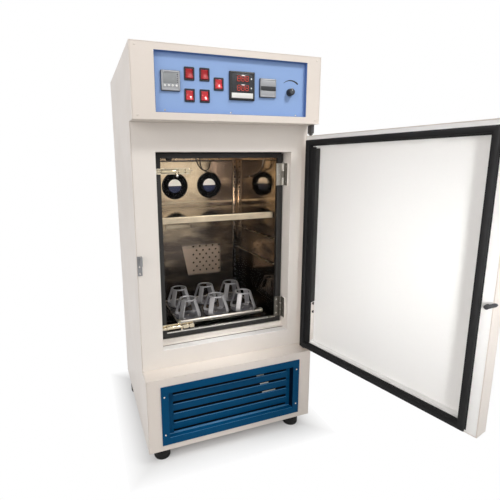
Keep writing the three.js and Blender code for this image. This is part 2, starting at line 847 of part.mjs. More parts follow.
// Orbiting drive: motor and bearing tube, crank, idler crank and tray
const tubeTop = idlerPostTop;
const flangeTop = deckTop - sheet - seam;
const flangeBottom = flangeTop - motorFlangeThickness;
const motorBottom = flangeBottom - motorHeight;
const shaftFoot = flangeBottom - motorRadius;
const flangeHalf = motorFlangeSize / 2;
add('shaker_motor', build([
  slab(spindleX - flangeHalf, spindleX + flangeHalf, spindleY - flangeHalf, spindleY + flangeHalf,
    flangeBottom, flangeTop),
  rodZ(spindleX, spindleY, motorBottom, flangeBottom + motorFlangeThickness / 2, motorRadius),
  rodZ(spindleX, spindleY, flangeBottom, tubeTop, spindleTubeRadius),
], [
  rodZ(spindleX, spindleY, shaftFoot, tubeTop + overrun, crankShaftRadius + turnClearance),
]), look.motor());

const pinTop = trayTop - trayThickness - pinEndGap + turnClearance;
function crank(x, y, shaftRadius, shaftBottom, discRadius, pinRadius) {
  return build([
    rodZ(x, y, shaftBottom, discTop, shaftRadius),
    rodZ(x, y, discBottom, discTop, discRadius),
    rodZ(x + orbitRadius, y, discBottom, pinTop, pinRadius),
  ]);
}
add('crank_spindle', crank(spindleX, spindleY, crankShaftRadius, shaftFoot + turnClearance,
  crankDiscRadius, crankPinRadius), look.steel());
add('idler_crank', crank(idlerPlaceX, idlerPlaceY, idlerShaftRadius, idlerPostTop - idlerShaftDepth,
  orbitRadius + idlerPinRadius, idlerPinRadius), look.steel());

const trayBottom = trayTop - trayThickness;
const hubBottom = trayBottom - hubDepth;
const trayPins = [
  { x: spindleX + orbitRadius, y: spindleY, radius: crankPinRadius },
  { x: idlerPlaceX + orbitRadius, y: idlerPlaceY, radius: idlerPinRadius },
];
const trayX = spindleX + orbitRadius;
const trayY = spindleY;
const trayLeft = trayX - trayWidth / 2;
const trayRight = trayX + trayWidth / 2;
const trayFront = trayY - trayDepth / 2;
const trayBack = trayY + trayDepth / 2;
const tubeZ = trayTop + trayTubeRadius - trayTubeSink;
const edgeRodZ = trayTop + trayRodRadius - trayTubeSink;
const tubeY = trayFront + trayTubeRadius;
add('flask_tray', build([
  slab(trayLeft, trayRight, trayFront, trayBack, trayBottom, trayTop),
  ...trayPins.map(({ x, y, radius }) =>
    rodZ(x, y, hubBottom, trayBottom + trayThickness / 2, radius + hubWall)),
  rodX(tubeY, tubeZ, trayLeft, trayRight, trayTubeRadius, smallSides),
  rodX(trayBack - trayRodRadius, edgeRodZ, trayLeft, trayRight, trayRodRadius, rodSides),
  rodY(trayLeft + trayRodRadius, edgeRodZ, tubeY, trayBack, trayRodRadius, rodSides),
  rodY(trayRight - trayRodRadius, edgeRodZ, tubeY, trayBack, trayRodRadius, rodSides),
], trayPins.map(({ x, y, radius }) => rodZ(x, y, hubBottom - overrun, trayBottom - turnClearance / 2,
  radius + turnClearance))), look.steel());

// Flask clamps: base disc, sprung strip legs and a neck ring
function clampGeometry() {
  const ringInner = clampRingRadius - clampRingWall;
  const ringLow = clampHeight - clampRingHeight;
  const legInner = clampLegThickness;
  const legTop = clampRingRadius - legInner;
  const leg = [
    [clampBaseRadius - legInner, clampBaseThickness / 2],
    [clampBaseRadius, clampBaseThickness / 2],
    [clampBaseRadius + clampBulge, clampShoulder],
    [clampRingRadius, ringLow + clampRingHeight / 2],
    [clampRingRadius, clampHeight],
    [legTop, clampHeight],
    [legTop, ringLow + clampRingHeight / 2 - legInner],
    [clampBaseRadius + clampBulge - legInner, clampShoulder - legInner / 2],
  ];
  const legs = [];
  for (let i = 0; i < clampLegs; i += 1) {
    const strip = prismX(leg, -clampLegWidth / 2, clampLegWidth / 2);
    strip.rotateZ(clampTurn + i * 2 * Math.PI / clampLegs);
    legs.push(strip);
  }
  const ring = build([rodZ(0, 0, ringLow, clampHeight, clampRingRadius)],
    [rodZ(0, 0, ringLow - overrun, clampHeight + overrun, ringInner)]);
  return build([rodZ(0, 0, 0, clampBaseThickness, clampBaseRadius), ring, ...legs]);
}
const clampShape = clampGeometry();
let clampNumber = 0;
for (let row = 0; row < clampRows; row += 1) {
  for (let column = 0; column < clampColumns; column += 1) {
    clampNumber += 1;
    const mesh = add(`flask_clamp_${clampNumber}`, clampShape.clone(), look.clampSteel());
    mesh.position.set(
      trayX + (column - (clampColumns - 1) / 2) * clampPitchX,
      trayY + trayTubeRadius - trayRodRadius + (row - (clampRows - 1) / 2) * clampPitchY,
      trayTop + seam,
    );
  }
}

// Compressor, and the condenser with its fan behind the grille
const compressorFoot = floorTop + seam;
const compressorY = rearFace - compressorSetback;
const dome = compressorNeckShares.map(([r, h]) =>
  new THREE.Vector2(r * compressorRadius, compressorPlate + h * compressorHeight));
const compressorBody = new THREE.LatheGeometry([
  new THREE.Vector2(0, compressorPlate / 2),
  new THREE.Vector2(compressorRadius, compressorPlate / 2),
  ...dome,
  new THREE.Vector2(0, compressorPlate + compressorHeight),
], roundSides);
compressorBody.rotateX(Math.PI / 2);
compressorBody.translate(compressorX, compressorY, compressorFoot);
const plateHalf = compressorPlateSize / 2;
add('compressor', build([
  compressorBody,
  slab(compressorX - plateHalf, compressorX + plateHalf, compressorY - plateHalf, compressorY + plateHalf,
    compressorFoot, compressorFoot + compressorPlate),
]), look.black());

const condenserFront = sheet + condenserFrontGap;
const condenserFoot = floorTop + seam;
const condenserMiddle = condenserFoot + condenserHeight / 2;
const coolerFront = condenserFront + condenserThickness;
const coolerSpec = {
  x: 0,
  z: condenserMiddle,
  front: coolerFront,
  size: coolerFanSize,
  depth: coolerFanDepth,
  bore: coolerBoreRadius,
  hub: coolerHubRadius,
  hubThickness: coolerHubThickness,
  strut: coolerStrutWidth,
  blades: coolerBladeCount,
  thickness: coolerBladeThickness,
};
const condenserBlock = slab(-condenserWidth / 2, condenserWidth / 2, condenserFront, coolerFront,
  condenserFoot, condenserFoot + condenserHeight);
add('condenser', build([fanFrame(coolerSpec), condenserBlock]), look.copper());
add('condenser_fan_rotor', fanRotor(coolerSpec), look.black());

// Feet
const footPlaces = [
  [frontFootInset - halfWidth, frontFootSetback],
  [halfWidth - frontFootInset, frontFootSetback],
  [rearFootInset - halfWidth, cabinetDepth - rearFootSetback],
  [halfWidth - rearFootInset, cabinetDepth - rearFootSetback],
];
footPlaces.forEach(([x, y], index) => {
  add(`foot_${index + 1}`, build([
    rodZ(x, y, 0, footToeHeight, footToeRadius, roundSides, footRadius),
    rodZ(x, y, footToeHeight, footHeight - seam, footRadius),
  ]), look.rubber());
});

// Hinge brackets with their pins, on the soffit and on the ledge
const hingeX = halfWidth - hingeInset;
const hingeY = hingeSetback;
const doorBottom = baseTop + doorBottomGap;
const doorTop = consoleBottom - doorTopGap;
const blockLeft = hingeX - hingeBlockWidth / 2;
const blockFront = hingeY - hingeBlockDepth / 2;
const upperBlockBottom = doorTop + hingePinShow;
const lowerBlockTop = doorBottom - hingeLowPinShow;
add('door_hinge_upper', build([
  slab(blockLeft, blockLeft + hingeBlockWidth, blockFront, blockFront + hingeBlockDepth,
    upperBlockBottom, consoleBottom - seam),
  rodZ(hingeX, hingeY, doorTop - hingePinEngage, upperBlockBottom + hingePinShow / 2,
    hingePinRadius, smallSides),
]), look.keeper());
add('door_hinge_lower', build([
  slab(blockLeft, blockLeft + hingeBlockWidth, blockFront, blockFront + hingeBlockDepth,
    deckTop + seam, lowerBlockTop),
  rodZ(hingeX, hingeY, lowerBlockTop - hingeLowPinShow, doorBottom + hingePinEngage,
    hingePinRadius, smallSides),
]), look.keeper());

// Keeper plate on the recessed front, with the hook that the latch cam turns behind
const keeperTop = latchZ + keeperHeight - keeperDrop;
const camBack = bayRecess - seam - keeperThickness - latchCamGap;
const camFront = camBack - latchCamThickness;
const hookBack = camFront - keeperCamGap;
const hookFront = hookBack - keeperHookThickness;
const keeperBack = bayRecess - seam;
const keeperFront = keeperBack - keeperThickness;
const hookLeft = latchX - keeperHookWidth / 2;
const keeperLeft = latchX - keeperOutset - keeperWidth / 2;
add('latch_keeper', build([
  slab(keeperLeft, keeperLeft + keeperWidth, keeperFront, keeperBack, keeperTop - keeperHeight, keeperTop),
  slab(hookLeft, hookLeft + keeperHookWidth, hookFront, keeperFront + keeperThickness / 2,
    keeperTop - keeperStem, keeperTop),
  slab(hookLeft, hookLeft + keeperHookWidth, hookFront, hookBack, keeperTop - keeperHookHeight, keeperTop),
]), look.keeper());

// Outer door: every piece is placed closed, relative to the hinge pins, and the group is swung open
const door = new THREE.Group();
door.position.set(hingeX, hingeY, 0);
door.rotation.z = doorOpenAngle;
machine.add(door);

function addToDoor(name, geometry, material) {
  geometry.translate(-hingeX, -hingeY, 0);
  return add(name, geometry, material, door);
}

const doorLeft = doorEdgeGap - halfWidth;
const doorRight = halfWidth - doorEdgeGap;
const linerPlate = doorBodyDepth - doorLinerSheet;
const pinBore = hingePinRadius + hingePinGap;
const spindleBore = latchSpindleRadius + latchSpindleGap;
addToDoor('door_shell', build([
  slab(doorLeft, doorRight, 0, doorBodyDepth, doorBottom, doorTop),
], [
  slab(doorLeft + sheet, doorRight - sheet, sheet, doorBodyDepth + overrun,
    doorBottom + sheet, doorTop - sheet),
  rodZ(hingeX, hingeY, doorBottom - overrun, doorTop + overrun, pinBore, smallSides),
  rodY(latchX, latchZ, -overrun, sheet + overrun, spindleBore, smallSides),
]), look.cream());

const rimLeft = doorLeft + sheet + seam;
const rimRight = doorRight - sheet - seam;
const rimBottom = doorBottom + sheet + seam;
const rimTop = doorTop - sheet - seam;
const pocketLeft = doorLeft + doorPocketSide;
const pocketRight = doorRight - doorPocketSide;
const pocketBottom = doorBottom + doorPocketEnd;
const pocketTop = doorTop - doorPocketEnd;
const pocketFloor = doorBodyDepth - doorPocketDepth;
addToDoor('door_liner', build([
  slab(rimLeft, rimRight, linerPlate, doorBodyDepth, rimBottom, rimTop),
  slab(pocketLeft - doorLinerSheet, pocketRight + doorLinerSheet, pocketFloor - doorLinerSheet, doorBodyDepth,
    pocketBottom - doorLinerSheet, pocketTop + doorLinerSheet),
], [
  slab(pocketLeft, pocketRight, pocketFloor, doorBodyDepth + overrun, pocketBottom, pocketTop),
  rodY(latchX, latchZ, linerPlate - overrun, doorBodyDepth + overrun, spindleBore, smallSides),
]), look.white());

const gasketLeft = gasketSide - halfWidth;
const gasketRight = halfWidth - gasketSide;
const gasketLow = doorBottom + gasketBottom;
const gasketHigh = doorTop - gasketTop;
addToDoor('door_gasket', build([
  slab(gasketLeft, gasketRight, doorBodyDepth + seam, bayRecess - seam, gasketLow, gasketHigh),
], [
  slab(gasketLeft + gasketWidth, gasketRight - gasketWidth, doorBodyDepth - overrun, bayRecess + overrun,
    gasketLow + gasketWidth, gasketHigh - gasketWidth),
]), look.rubber());

// Latch lever: arm and boss outside, spindle through the door, cam inside; at rest it is turned free
const lever = build([
  rodY(0, 0, -latchBossLength, -seam, latchBossRadius),
  rodY(0, 0, -latchBossLength, camBack, latchSpindleRadius, smallSides),
  slab(-latchArmWidth / 2, latchArmWidth / 2, -latchBossLength - latchArmThickness, -latchBossLength,
    -latchArmLength, latchArmWidth / 2),
  slab(-latchCamWidth / 2, latchCamWidth / 2, camFront, camBack, -latchCamWidth / 2, latchCamLength),
]);
lever.rotateY(-latchTurn);
lever.translate(latchX, 0, latchZ);
addToDoor('latch_lever', lever, look.keeper());

// Inner glass door with the moving hinge leaves
const innerLeft = openingLeft + innerSideGap;
const innerRight = openingRight - innerSideGap;
const innerBottom = openingBottom + thresholdHeight + innerBottomGap;
const innerTop = openingTop - innerTopGap;
const innerBack = innerPlane + innerDepth;
const paneLeft = innerLeft + innerFrameWidth;
const paneRight = innerRight - innerFrameWidth;
const paneBottom = innerBottom + innerFrameWidth;
const paneTop = innerTop - innerFrameWidth;
const movingLeaves = [];
for (const top of leafTops) {
  const low = top - leafHeight;
  const edge = pinX - knuckleRadius - knuckleGap;
  movingLeaves.push(slab(pinX - leafWidth - knuckleRadius, edge, innerPlane - leafThickness,
    innerPlane + leafThickness, low, top));
  for (const start of [low, top - third]) {
    movingLeaves.push(slab(edge - leafThickness, pinX, innerPlane - leafThickness, innerPlane + leafThickness,
      start, start + third));
    movingLeaves.push(rodZ(pinX, pinY, start, start + third, knuckleRadius, smallSides));
  }
}
const pinWays = leafTops.map((top) => rodZ(pinX, pinY, top - leafHeight - overrun, top + overrun,
  knucklePinRadius + turnClearance, smallSides));
const knuckleWays = leafTops.map((top) => rodZ(pinX, pinY, top - leafHeight + third, top - third,
  knuckleRadius + seam, smallSides));
const rebateFront = innerPlane + glassLip;
add('inner_door_frame', build([
  build([slab(innerLeft, innerRight, innerPlane, innerBack, innerBottom, innerTop)], [
    slab(paneLeft, paneRight, innerPlane - overrun, innerBack + overrun, paneBottom, paneTop),
    slab(paneLeft - glassRebate, paneRight + glassRebate, rebateFront, innerBack + overrun,
      paneBottom - glassRebate, paneTop + glassRebate),
  ]),
  ...movingLeaves,
], [...pinWays, ...knuckleWays]), look.frame());

const paneFront = rebateFront + seam;
add('inner_door_glass', build([
  slab(paneLeft - glassRebate + seam, paneRight + glassRebate - seam, paneFront, paneFront + glassThickness,
    paneBottom - glassRebate + seam, paneTop + glassRebate - seam),
]), look.glass());

// Barrel bolts: plate, slotted barrel, guide block and end block; the rod slides and carries a hanging knob
['upper', 'lower'].forEach((place, index) => {
  const z = boltHeights[index];
  const plateBack = innerPlane - seam;
  const plateFront = plateBack - boltPlateThickness;
  const half = boltPlateHeight / 2;
  const start = innerLeft + boltBackGap;
  const barrelFrom = start + barrelStart;
  const barrelTo = barrelFrom + barrelLength;
  const guideFrom = start + boltGuideStart;
  const endTo = start + boltLength;
  const endFrom = endTo - boltEndLength;
  const knobAt = barrelTo + boltKnobRadius + boltRodGap;
  const slotHalf = boltKnobRadius + boltRodGap;
  const blockFront = boltY - boltBlockHalf;
  add(`bolt_body_${place}`, build([
    slab(start, endTo, plateFront, plateBack, z - half, z + half),
    rodX(boltY, z, barrelFrom, barrelTo, barrelRadius, smallSides),
    slab(barrelFrom, barrelTo, boltY, plateBack, z - barrelRadius, z + barrelRadius),
    slab(guideFrom, guideFrom + boltGuideLength, blockFront, plateBack, z - boltBlockHalf, z + boltBlockHalf),
    slab(endFrom, endTo, blockFront, plateBack, z - boltBlockHalf, z + boltBlockHalf),
  ], [
    rodX(boltY, z, start - overrun, endTo + overrun, boltRodRadius + boltRodGap, smallSides),
    slab(barrelTo - boltTravel - boltRodGap, barrelTo + boltRodGap, boltY - slotHalf, boltY + slotHalf,
      z - barrelRadius - overrun, z),
  ]), look.brass());
  add(`bolt_rod_${place}`, build([
    rodX(boltY, z, innerLeft + boltTipShow, endTo - boltEndLength / 2, boltRodRadius, smallSides),
    rodZ(knobAt, boltY, z - boltKnobLength, z, boltKnobRadius, smallSides),
  ]), look.brass());
});

// Seat the whole machine on its feet with its box centred on the origin
const extent = new THREE.Box3().setFromObject(machine);
const middle = extent.getCenter(new THREE.Vector3());
machine.position.set(-middle.x, -middle.y, -extent.min.z);
machine.updateMatrixWorld(true);

export default machine;
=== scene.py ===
"""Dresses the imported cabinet: materials, small fittings, camera, floor and lights, in a scene of metres."""
import math

import bmesh
import bpy
from mathutils import Matrix, Vector


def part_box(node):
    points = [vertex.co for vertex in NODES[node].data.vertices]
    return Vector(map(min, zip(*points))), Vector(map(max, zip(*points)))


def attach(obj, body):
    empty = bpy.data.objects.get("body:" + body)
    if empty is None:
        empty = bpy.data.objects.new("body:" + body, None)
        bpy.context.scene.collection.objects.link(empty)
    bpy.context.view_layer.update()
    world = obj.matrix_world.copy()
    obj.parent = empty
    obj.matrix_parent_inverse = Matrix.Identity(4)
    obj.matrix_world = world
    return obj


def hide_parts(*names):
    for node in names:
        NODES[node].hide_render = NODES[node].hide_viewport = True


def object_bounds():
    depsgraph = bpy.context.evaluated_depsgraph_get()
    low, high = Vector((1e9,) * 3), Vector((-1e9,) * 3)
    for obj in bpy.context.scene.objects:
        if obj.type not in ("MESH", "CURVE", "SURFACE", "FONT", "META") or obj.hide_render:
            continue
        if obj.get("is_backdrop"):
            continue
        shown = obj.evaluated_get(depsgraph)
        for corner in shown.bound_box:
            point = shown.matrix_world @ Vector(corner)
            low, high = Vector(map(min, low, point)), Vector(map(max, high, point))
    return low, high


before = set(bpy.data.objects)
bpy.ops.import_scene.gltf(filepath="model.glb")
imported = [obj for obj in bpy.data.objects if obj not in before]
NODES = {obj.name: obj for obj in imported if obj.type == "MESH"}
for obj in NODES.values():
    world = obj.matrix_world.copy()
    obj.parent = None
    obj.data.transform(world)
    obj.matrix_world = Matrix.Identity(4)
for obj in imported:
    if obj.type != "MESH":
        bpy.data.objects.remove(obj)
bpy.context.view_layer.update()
SCENE = bpy.context.scene

# The cabinet's own frame: X from its middle, Y from its front plane
shell_low, shell_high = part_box("cabinet_shell")
SHIFT = Vector(((shell_low.x + shell_high.x) / 2, shell_low.y, 0))
# Its half width, and the depths of its back and of the duct panel's front, in millimetres
HALF_WIDTH, REAR, DUCT = 272, 520.0, 464.0


def P(x, y, z):
    """A point of the cabinet's own frame, in millimetres, as a place in the scene."""
    return Vector((x / 1000, y / 1000, z / 1000)) + SHIFT


def srgb(r, g, b):
    def one(c):
        c /= 255
        return c / 12.92 if c <= 0.04045 else ((c + 0.055) / 1.055) ** 2.4
    return (one(r), one(g), one(b), 1)


# Materials
def new_material(name):
    m = bpy.data.materials.new(name)
    m.use_nodes = True
    tree = m.node_tree
    tree.nodes.clear()
    out = tree.nodes.new("ShaderNodeOutputMaterial")
    bsdf = tree.nodes.new("ShaderNodeBsdfPrincipled")
    tree.links.new(bsdf.outputs[0], out.inputs[0])
    return m, tree, bsdf


def feed(tree, socket, source):
    """Links an output to a socket, or sets the socket to a plain value."""
    if isinstance(source, bpy.types.NodeSocket):
        tree.links.new(source, socket)
    else:
        socket.default_value = source


def math_node(tree, op, a, b=None):
    n = tree.nodes.new("ShaderNodeMath")
    n.operation = op
    for i, v in enumerate((a, b)):
        if v is not None:
            feed(tree, n.inputs[i], v)
    return n.outputs[0]


def product(tree, *factors):
    total = factors[0]
    for factor in factors[1:]:
        total = math_node(tree, "MULTIPLY", total, factor)
    return total


def ramp(tree, fac, low, high, a=0.0, b=1.0):
    n = tree.nodes.new("ShaderNodeMapRange")
    for key, v in (("Value", fac), ("From Min", low), ("From Max", high), ("To Min", a), ("To Max", b)):
        feed(tree, n.inputs[key], v)
    return n.outputs[0]


def mix_color(tree, fac, a, b, blend="MIX"):
    n = tree.nodes.new("ShaderNodeMix")
    n.data_type = "RGBA"
    n.blend_type = blend
    for i, v in ((0, fac), (6, a), (7, b)):
        feed(tree, n.inputs[i], v)
    return n.outputs[2]


def tinted(tree, color, shade):
    """The colour times a grey factor."""
    grey = tree.nodes.new("ShaderNodeCombineColor")
    for i in range(3):
        tree.links.new(shade, grey.inputs[i])
    return mix_color(tree, 1.0, color, grey.outputs[0], "MULTIPLY")


def coords(tree, scale=(1, 1, 1)):
    t = tree.nodes.new("ShaderNodeTexCoord")
    m = tree.nodes.new("ShaderNodeMapping")
    m.inputs["Scale"].default_value = scale
    tree.links.new(t.outputs["Object"], m.inputs["Vector"])
    return m.outputs[0]


def noise(tree, vec, scale, detail=3, rough=0.55):
    n = tree.nodes.new("ShaderNodeTexNoise")
    for key, v in (("Vector", vec), ("Scale", scale), ("Detail", detail), ("Roughness", rough)):
        feed(tree, n.inputs[key], v)
    return n.outputs["Fac"]


def bumped(tree, normal, height, strength, distance):
    """The normal after a bump of that height, strength and distance in metres."""
    n = tree.nodes.new("ShaderNodeBump")
    for key, v in (("Height", height), ("Strength", strength), ("Distance", distance), ("Normal", normal)):
        feed(tree, n.inputs[key], v)
    return n.outputs[0]


def edge_mask(tree, radius):
    """How near a point lies to an edge, and its rounded normal."""
    bevel = tree.nodes.new("ShaderNodeBevel")
    bevel.samples = 4
    bevel.inputs["Radius"].default_value = radius
    geo = tree.nodes.new("ShaderNodeNewGeometry")
    dot = tree.nodes.new("ShaderNodeVectorMath")
    dot.operation = "DOT_PRODUCT"
    tree.links.new(bevel.outputs[0], dot.inputs[0])
    tree.links.new(geo.outputs["Normal"], dot.inputs[1])
    return ramp(tree, dot.outputs["Value"], 0.995, 0.8), bevel.outputs[0]


def direct_rays(tree):
    """1 for camera, glossy and transmission rays."""
    path = tree.nodes.new("ShaderNodeLightPath")
    mirrored = math_node(tree, "MAXIMUM", path.outputs["Is Glossy Ray"], path.outputs["Is Transmission Ray"])
    return math_node(tree, "MAXIMUM", path.outputs["Is Camera Ray"], mirrored)


def show_mixed(tree, share, first, second):
    """Gives the material the second shader by that share, and the first for the rest."""
    mix = tree.nodes.new("ShaderNodeMixShader")
    for i, source in enumerate((share, first.outputs[0], second.outputs[0])):
        tree.links.new(source, mix.inputs[i])
    out = next(n for n in tree.nodes if n.type == "OUTPUT_MATERIAL")
    tree.links.new(mix.outputs[0], out.inputs[0])


def surface(name, rgb, rough, metallic=0.0, vary=0.05, grain=500, bump=0.05, bump_scale=900, wear_and_highlight=None,
            wear_and_highlight_amount=0.35, edge_radius=0.0012, smudge=0.1, stretch=(1, 1, 1), coat=0.0, specular=0.5,
            dirt=0.05, dirt_scale=2.2):
    """A finished surface: broad colour drift, fine grain, smudges in the gloss, edges lightened as rubbed
    wear and painted highlight, and a bump.
    """
    m, tree, bsdf = new_material(name)
    vec = coords(tree)
    fine_vec = coords(tree, stretch)
    base = srgb(*rgb)
    dark = tuple(c * (1 - dirt * 2) for c in base[:3]) + (1,)
    color = mix_color(tree, ramp(tree, noise(tree, vec, dirt_scale, 4), 0.35, 0.75), base, dark)
    color = tinted(tree, color, ramp(tree, noise(tree, fine_vec, grain), 0.3, 0.7, 1 - vary, 1 + vary))
    mask, bevel_normal = edge_mask(tree, edge_radius)
    # Lighter edges: partly rubbed wear, partly a painted highlight where edges catch the light
    if wear_and_highlight is not None:
        broken = ramp(tree, noise(tree, vec, 60, 5, 0.7), 0.45, 0.7)
        color = mix_color(tree, product(tree, mask, broken, wear_and_highlight_amount), color, srgb(*wear_and_highlight))
    gloss = ramp(tree, noise(tree, vec, 9, 5, 0.6), 0.3, 0.75, max(0.02, rough - smudge), rough + smudge)
    tree.links.new(color, bsdf.inputs["Base Color"])
    tree.links.new(gloss, bsdf.inputs["Roughness"])
    bsdf.inputs["Metallic"].default_value = metallic
    bsdf.inputs["Specular IOR Level"].default_value = specular
    bsdf.inputs["Coat Weight"].default_value = coat
    normal = bumped(tree, bevel_normal, noise(tree, fine_vec, bump_scale, 2), bump, 0.0006)
    tree.links.new(normal, bsdf.inputs["Normal"])
    return m


def place_value(tree, axis):
    """One axis of the object's own coordinates, in the cabinet's millimetres."""
    t = tree.nodes.new("ShaderNodeTexCoord")
    split = tree.nodes.new("ShaderNodeSeparateXYZ")
    tree.links.new(t.outputs["Object"], split.inputs[0])
    index = "XYZ".index(axis)
    return product(tree, math_node(tree, "SUBTRACT", split.outputs[index], SHIFT[index]), 1000.0)


def polished(name, pale, deep, rough, heights, sides, streak, streak_amount, metallic=1.0, plate=None):
    """Polished steel with a painted reflection of a brown room: a fall from pale to deep over heights (Z) and
    sides
    (X) and streaks, as painted reflection and shade; dents and fine scratches; edges lightened as painted
    highlight; and on one panel a painted mirrored image of a plate."""
    m, tree, bsdf = new_material(name)
    vec = coords(tree)
    # The fall and the streaks are painted reflection and painted shade
    fall = product(tree, ramp(tree, place_value(tree, "Z"), *heights),
                   ramp(tree, place_value(tree, "X"), *sides))
    streaks = noise(tree, coords(tree, streak), 1.0, 6, 0.62)
    streaks = ramp(tree, streaks, 0.32, 0.68, -streak_amount, streak_amount)
    clamp = tree.nodes.new("ShaderNodeClamp")
    tree.links.new(math_node(tree, "ADD", fall, streaks), clamp.inputs[0])
    color = mix_color(tree, clamp.outputs[0], srgb(*deep), srgb(*pale))
    color = tinted(tree, color, ramp(tree, noise(tree, coords(tree, (1, 1, 0.05)), 420), 0.3, 0.7, 0.9, 1.08))
    gloss = ramp(tree, noise(tree, vec, 11, 5, 0.6), 0.3, 0.75, max(0.03, rough - 0.05), rough + 0.1)
    mask, bevel_normal = edge_mask(tree, 0.0012)
    # Edges lightened towards a pale tone: painted highlight
    color = mix_color(tree, product(tree, mask, 0.5), color, srgb(232, 222, 205))
    # A paler, rougher window on one panel: the painted reflection of a plate
    if plate is not None:
        x0, x1, z0, z1, lean, tone = plate
        px, pz = place_value(tree, "X"), place_value(tree, "Z")
        above = math_node(tree, "SUBTRACT", pz, (z0 + z1) / 2)
        skew = math_node(tree, "ADD", px, product(tree, above, lean))
        inside = product(tree, ramp(tree, skew, x0, x0 + 1.5), ramp(tree, px, x1, x1 - 14),
                         ramp(tree, pz, z0, z0 + 10), ramp(tree, pz, z1, z1 - 22))
        color = mix_color(tree, product(tree, inside, 0.85), color, srgb(*tone))
        rougher = tree.nodes.new("ShaderNodeMix")
        for i, v in ((0, inside), (2, gloss), (3, 0.5)):
            feed(tree, rougher.inputs[i], v)
        gloss = rougher.outputs[0]
    tree.links.new(color, bsdf.inputs["Base Color"])
    tree.links.new(gloss, bsdf.inputs["Roughness"])
    bsdf.inputs["Metallic"].default_value = metallic
    waves = bumped(tree, bevel_normal, noise(tree, vec, 7, 2, 0.5), 0.1, 0.004)
    dents = bumped(tree, waves, noise(tree, coords(tree, (1, 1, 0.35)), 38, 3, 0.6), 0.09, 0.0016)
    scratches = bumped(tree, dents, noise(tree, coords(tree, (1, 1, 0.04)), 160), 0.05, 0.0005)
    tree.links.new(scratches, bsdf.inputs["Normal"])
    return m


def glow(name, rgb, strength):
    m, tree, bsdf = new_material(name)
    color = srgb(*rgb)
    grain = ramp(tree, noise(tree, coords(tree), 900, 2), 0.3, 0.7)
    dark = tuple(c * 0.8 for c in color[:3]) + (1,)
    tree.links.new(mix_color(tree, grain, color, dark), bsdf.inputs["Base Color"])
    bsdf.inputs["Emission Color"].default_value = color
    bsdf.inputs["Emission Strength"].default_value = strength
    bsdf.inputs["Roughness"].default_value = 0.4
    return m


def clear_glass(name):
    """Smeared glass that lets shadow and diffuse rays straight through."""
    m, tree, bsdf = new_material(name)
    smears = ramp(tree, noise(tree, coords(tree), 7, 5), 0.45, 0.8, 0.0, 0.05)
    tree.links.new(smears, bsdf.inputs["Roughness"])
    bsdf.inputs["Base Color"].default_value = srgb(253, 253, 252)
    bsdf.inputs["Transmission Weight"].default_value = 1.0
    bsdf.inputs["IOR"].default_value = 1.1
    clear = tree.nodes.new("ShaderNodeBsdfTransparent")
    clear.inputs[0].default_value = srgb(252, 253, 252)
    path = tree.nodes.new("ShaderNodeLightPath")
    unbent = math_node(tree, "MAXIMUM", path.outputs["Is Shadow Ray"], path.outputs["Is Diffuse Ray"])
    show_mixed(tree, unbent, bsdf, clear)
    return m


ENAMEL = surface("cream_enamel", (232, 223, 214), 0.36, vary=0.012, bump=0.1, bump_scale=420,
    wear_and_highlight=(250, 246, 240), wear_and_highlight_amount=0.5, smudge=0.07, coat=0.15, dirt=0.02)
# The bay's enamel: the cream made lighter than the console's, as painted light
ENAMEL_LIT = surface("bay_enamel_painted_light", (242, 236, 229), 0.36, vary=0.012, bump=0.1, bump_scale=420,
    wear_and_highlight=(252, 250, 246), wear_and_highlight_amount=0.9, edge_radius=0.0016, smudge=0.07, dirt=0.03)
WHITE = surface("white_liner", (251, 251, 249), 0.34, vary=0.006, grain=400, bump=0.04, bump_scale=300,
    wear_and_highlight=(255, 255, 255), smudge=0.05, coat=0.2, dirt=0.006)
# The sill's strip: near white, lighter than the enamel, as painted light on its top
SILL_LIT = surface("sill_painted_light", (252, 250, 247), 0.3, vary=0.01, grain=400, smudge=0.05, dirt=0.02)
SILL_JOINT = surface("sill_joint", (120, 104, 92), 0.7, vary=0.1, grain=400, smudge=0.08)
FOAM = surface("foam_yellow", (225, 205, 150), 0.9, vary=0.12, grain=320, bump=0.6, bump_scale=600,
    smudge=0.08)
DEEP = surface("deep_black", (11, 11, 12), 0.55, vary=0.08, grain=600, bump=0.1, smudge=0.08, specular=0.22)
SEAM_STEEL = surface("seam_steel", (196, 172, 144), 0.24, 0.9, vary=0.08, grain=300, stretch=(0.05, 1, 1),
    dirt=0.2, dirt_scale=6)
SHELF_STEEL = surface("shelf_steel", (224, 216, 192), 0.3, 1.0, vary=0.06, grain=420, bump=0.08,
    wear_and_highlight=(250, 246, 230), wear_and_highlight_amount=0.7, stretch=(0.05, 1, 1), dirt=0.06)
TUBE_STEEL = surface("tube_steel", (206, 198, 190), 0.3, 0.8, vary=0.06, grain=420, bump=0.06,
    wear_and_highlight=(240, 236, 230), stretch=(0.05, 1, 1), dirt=0.06)
CLAMP_STEEL = surface("clamp_steel", (196, 194, 198), 0.42, 0.25, wear_and_highlight=(235, 235, 238), wear_and_highlight_amount=0.6)
FRAME_DARK = surface("inner_frame_paint", (23, 21, 19), 0.5, vary=0.04, grain=400, bump=0.12, bump_scale=700,
    wear_and_highlight=(120, 122, 124), wear_and_highlight_amount=0.6)
BLACK = surface("black_plastic", (20, 20, 21), 0.46, vary=0.06, grain=700, bump=0.14, bump_scale=1400,
    wear_and_highlight=(70, 70, 72), wear_and_highlight_amount=0.5)
RUBBER = surface("black_rubber", (17, 17, 18), 0.72, vary=0.08, grain=600, bump=0.2, wear_and_highlight=(60, 58, 56),
    wear_and_highlight_amount=0.5, smudge=0.08, specular=0.3)
FASCIA = surface("blue_fascia", (145, 176, 225), 0.42, vary=0.02, grain=900, bump_scale=1200,
    wear_and_highlight=(190, 205, 235), smudge=0.06, dirt=0.03)
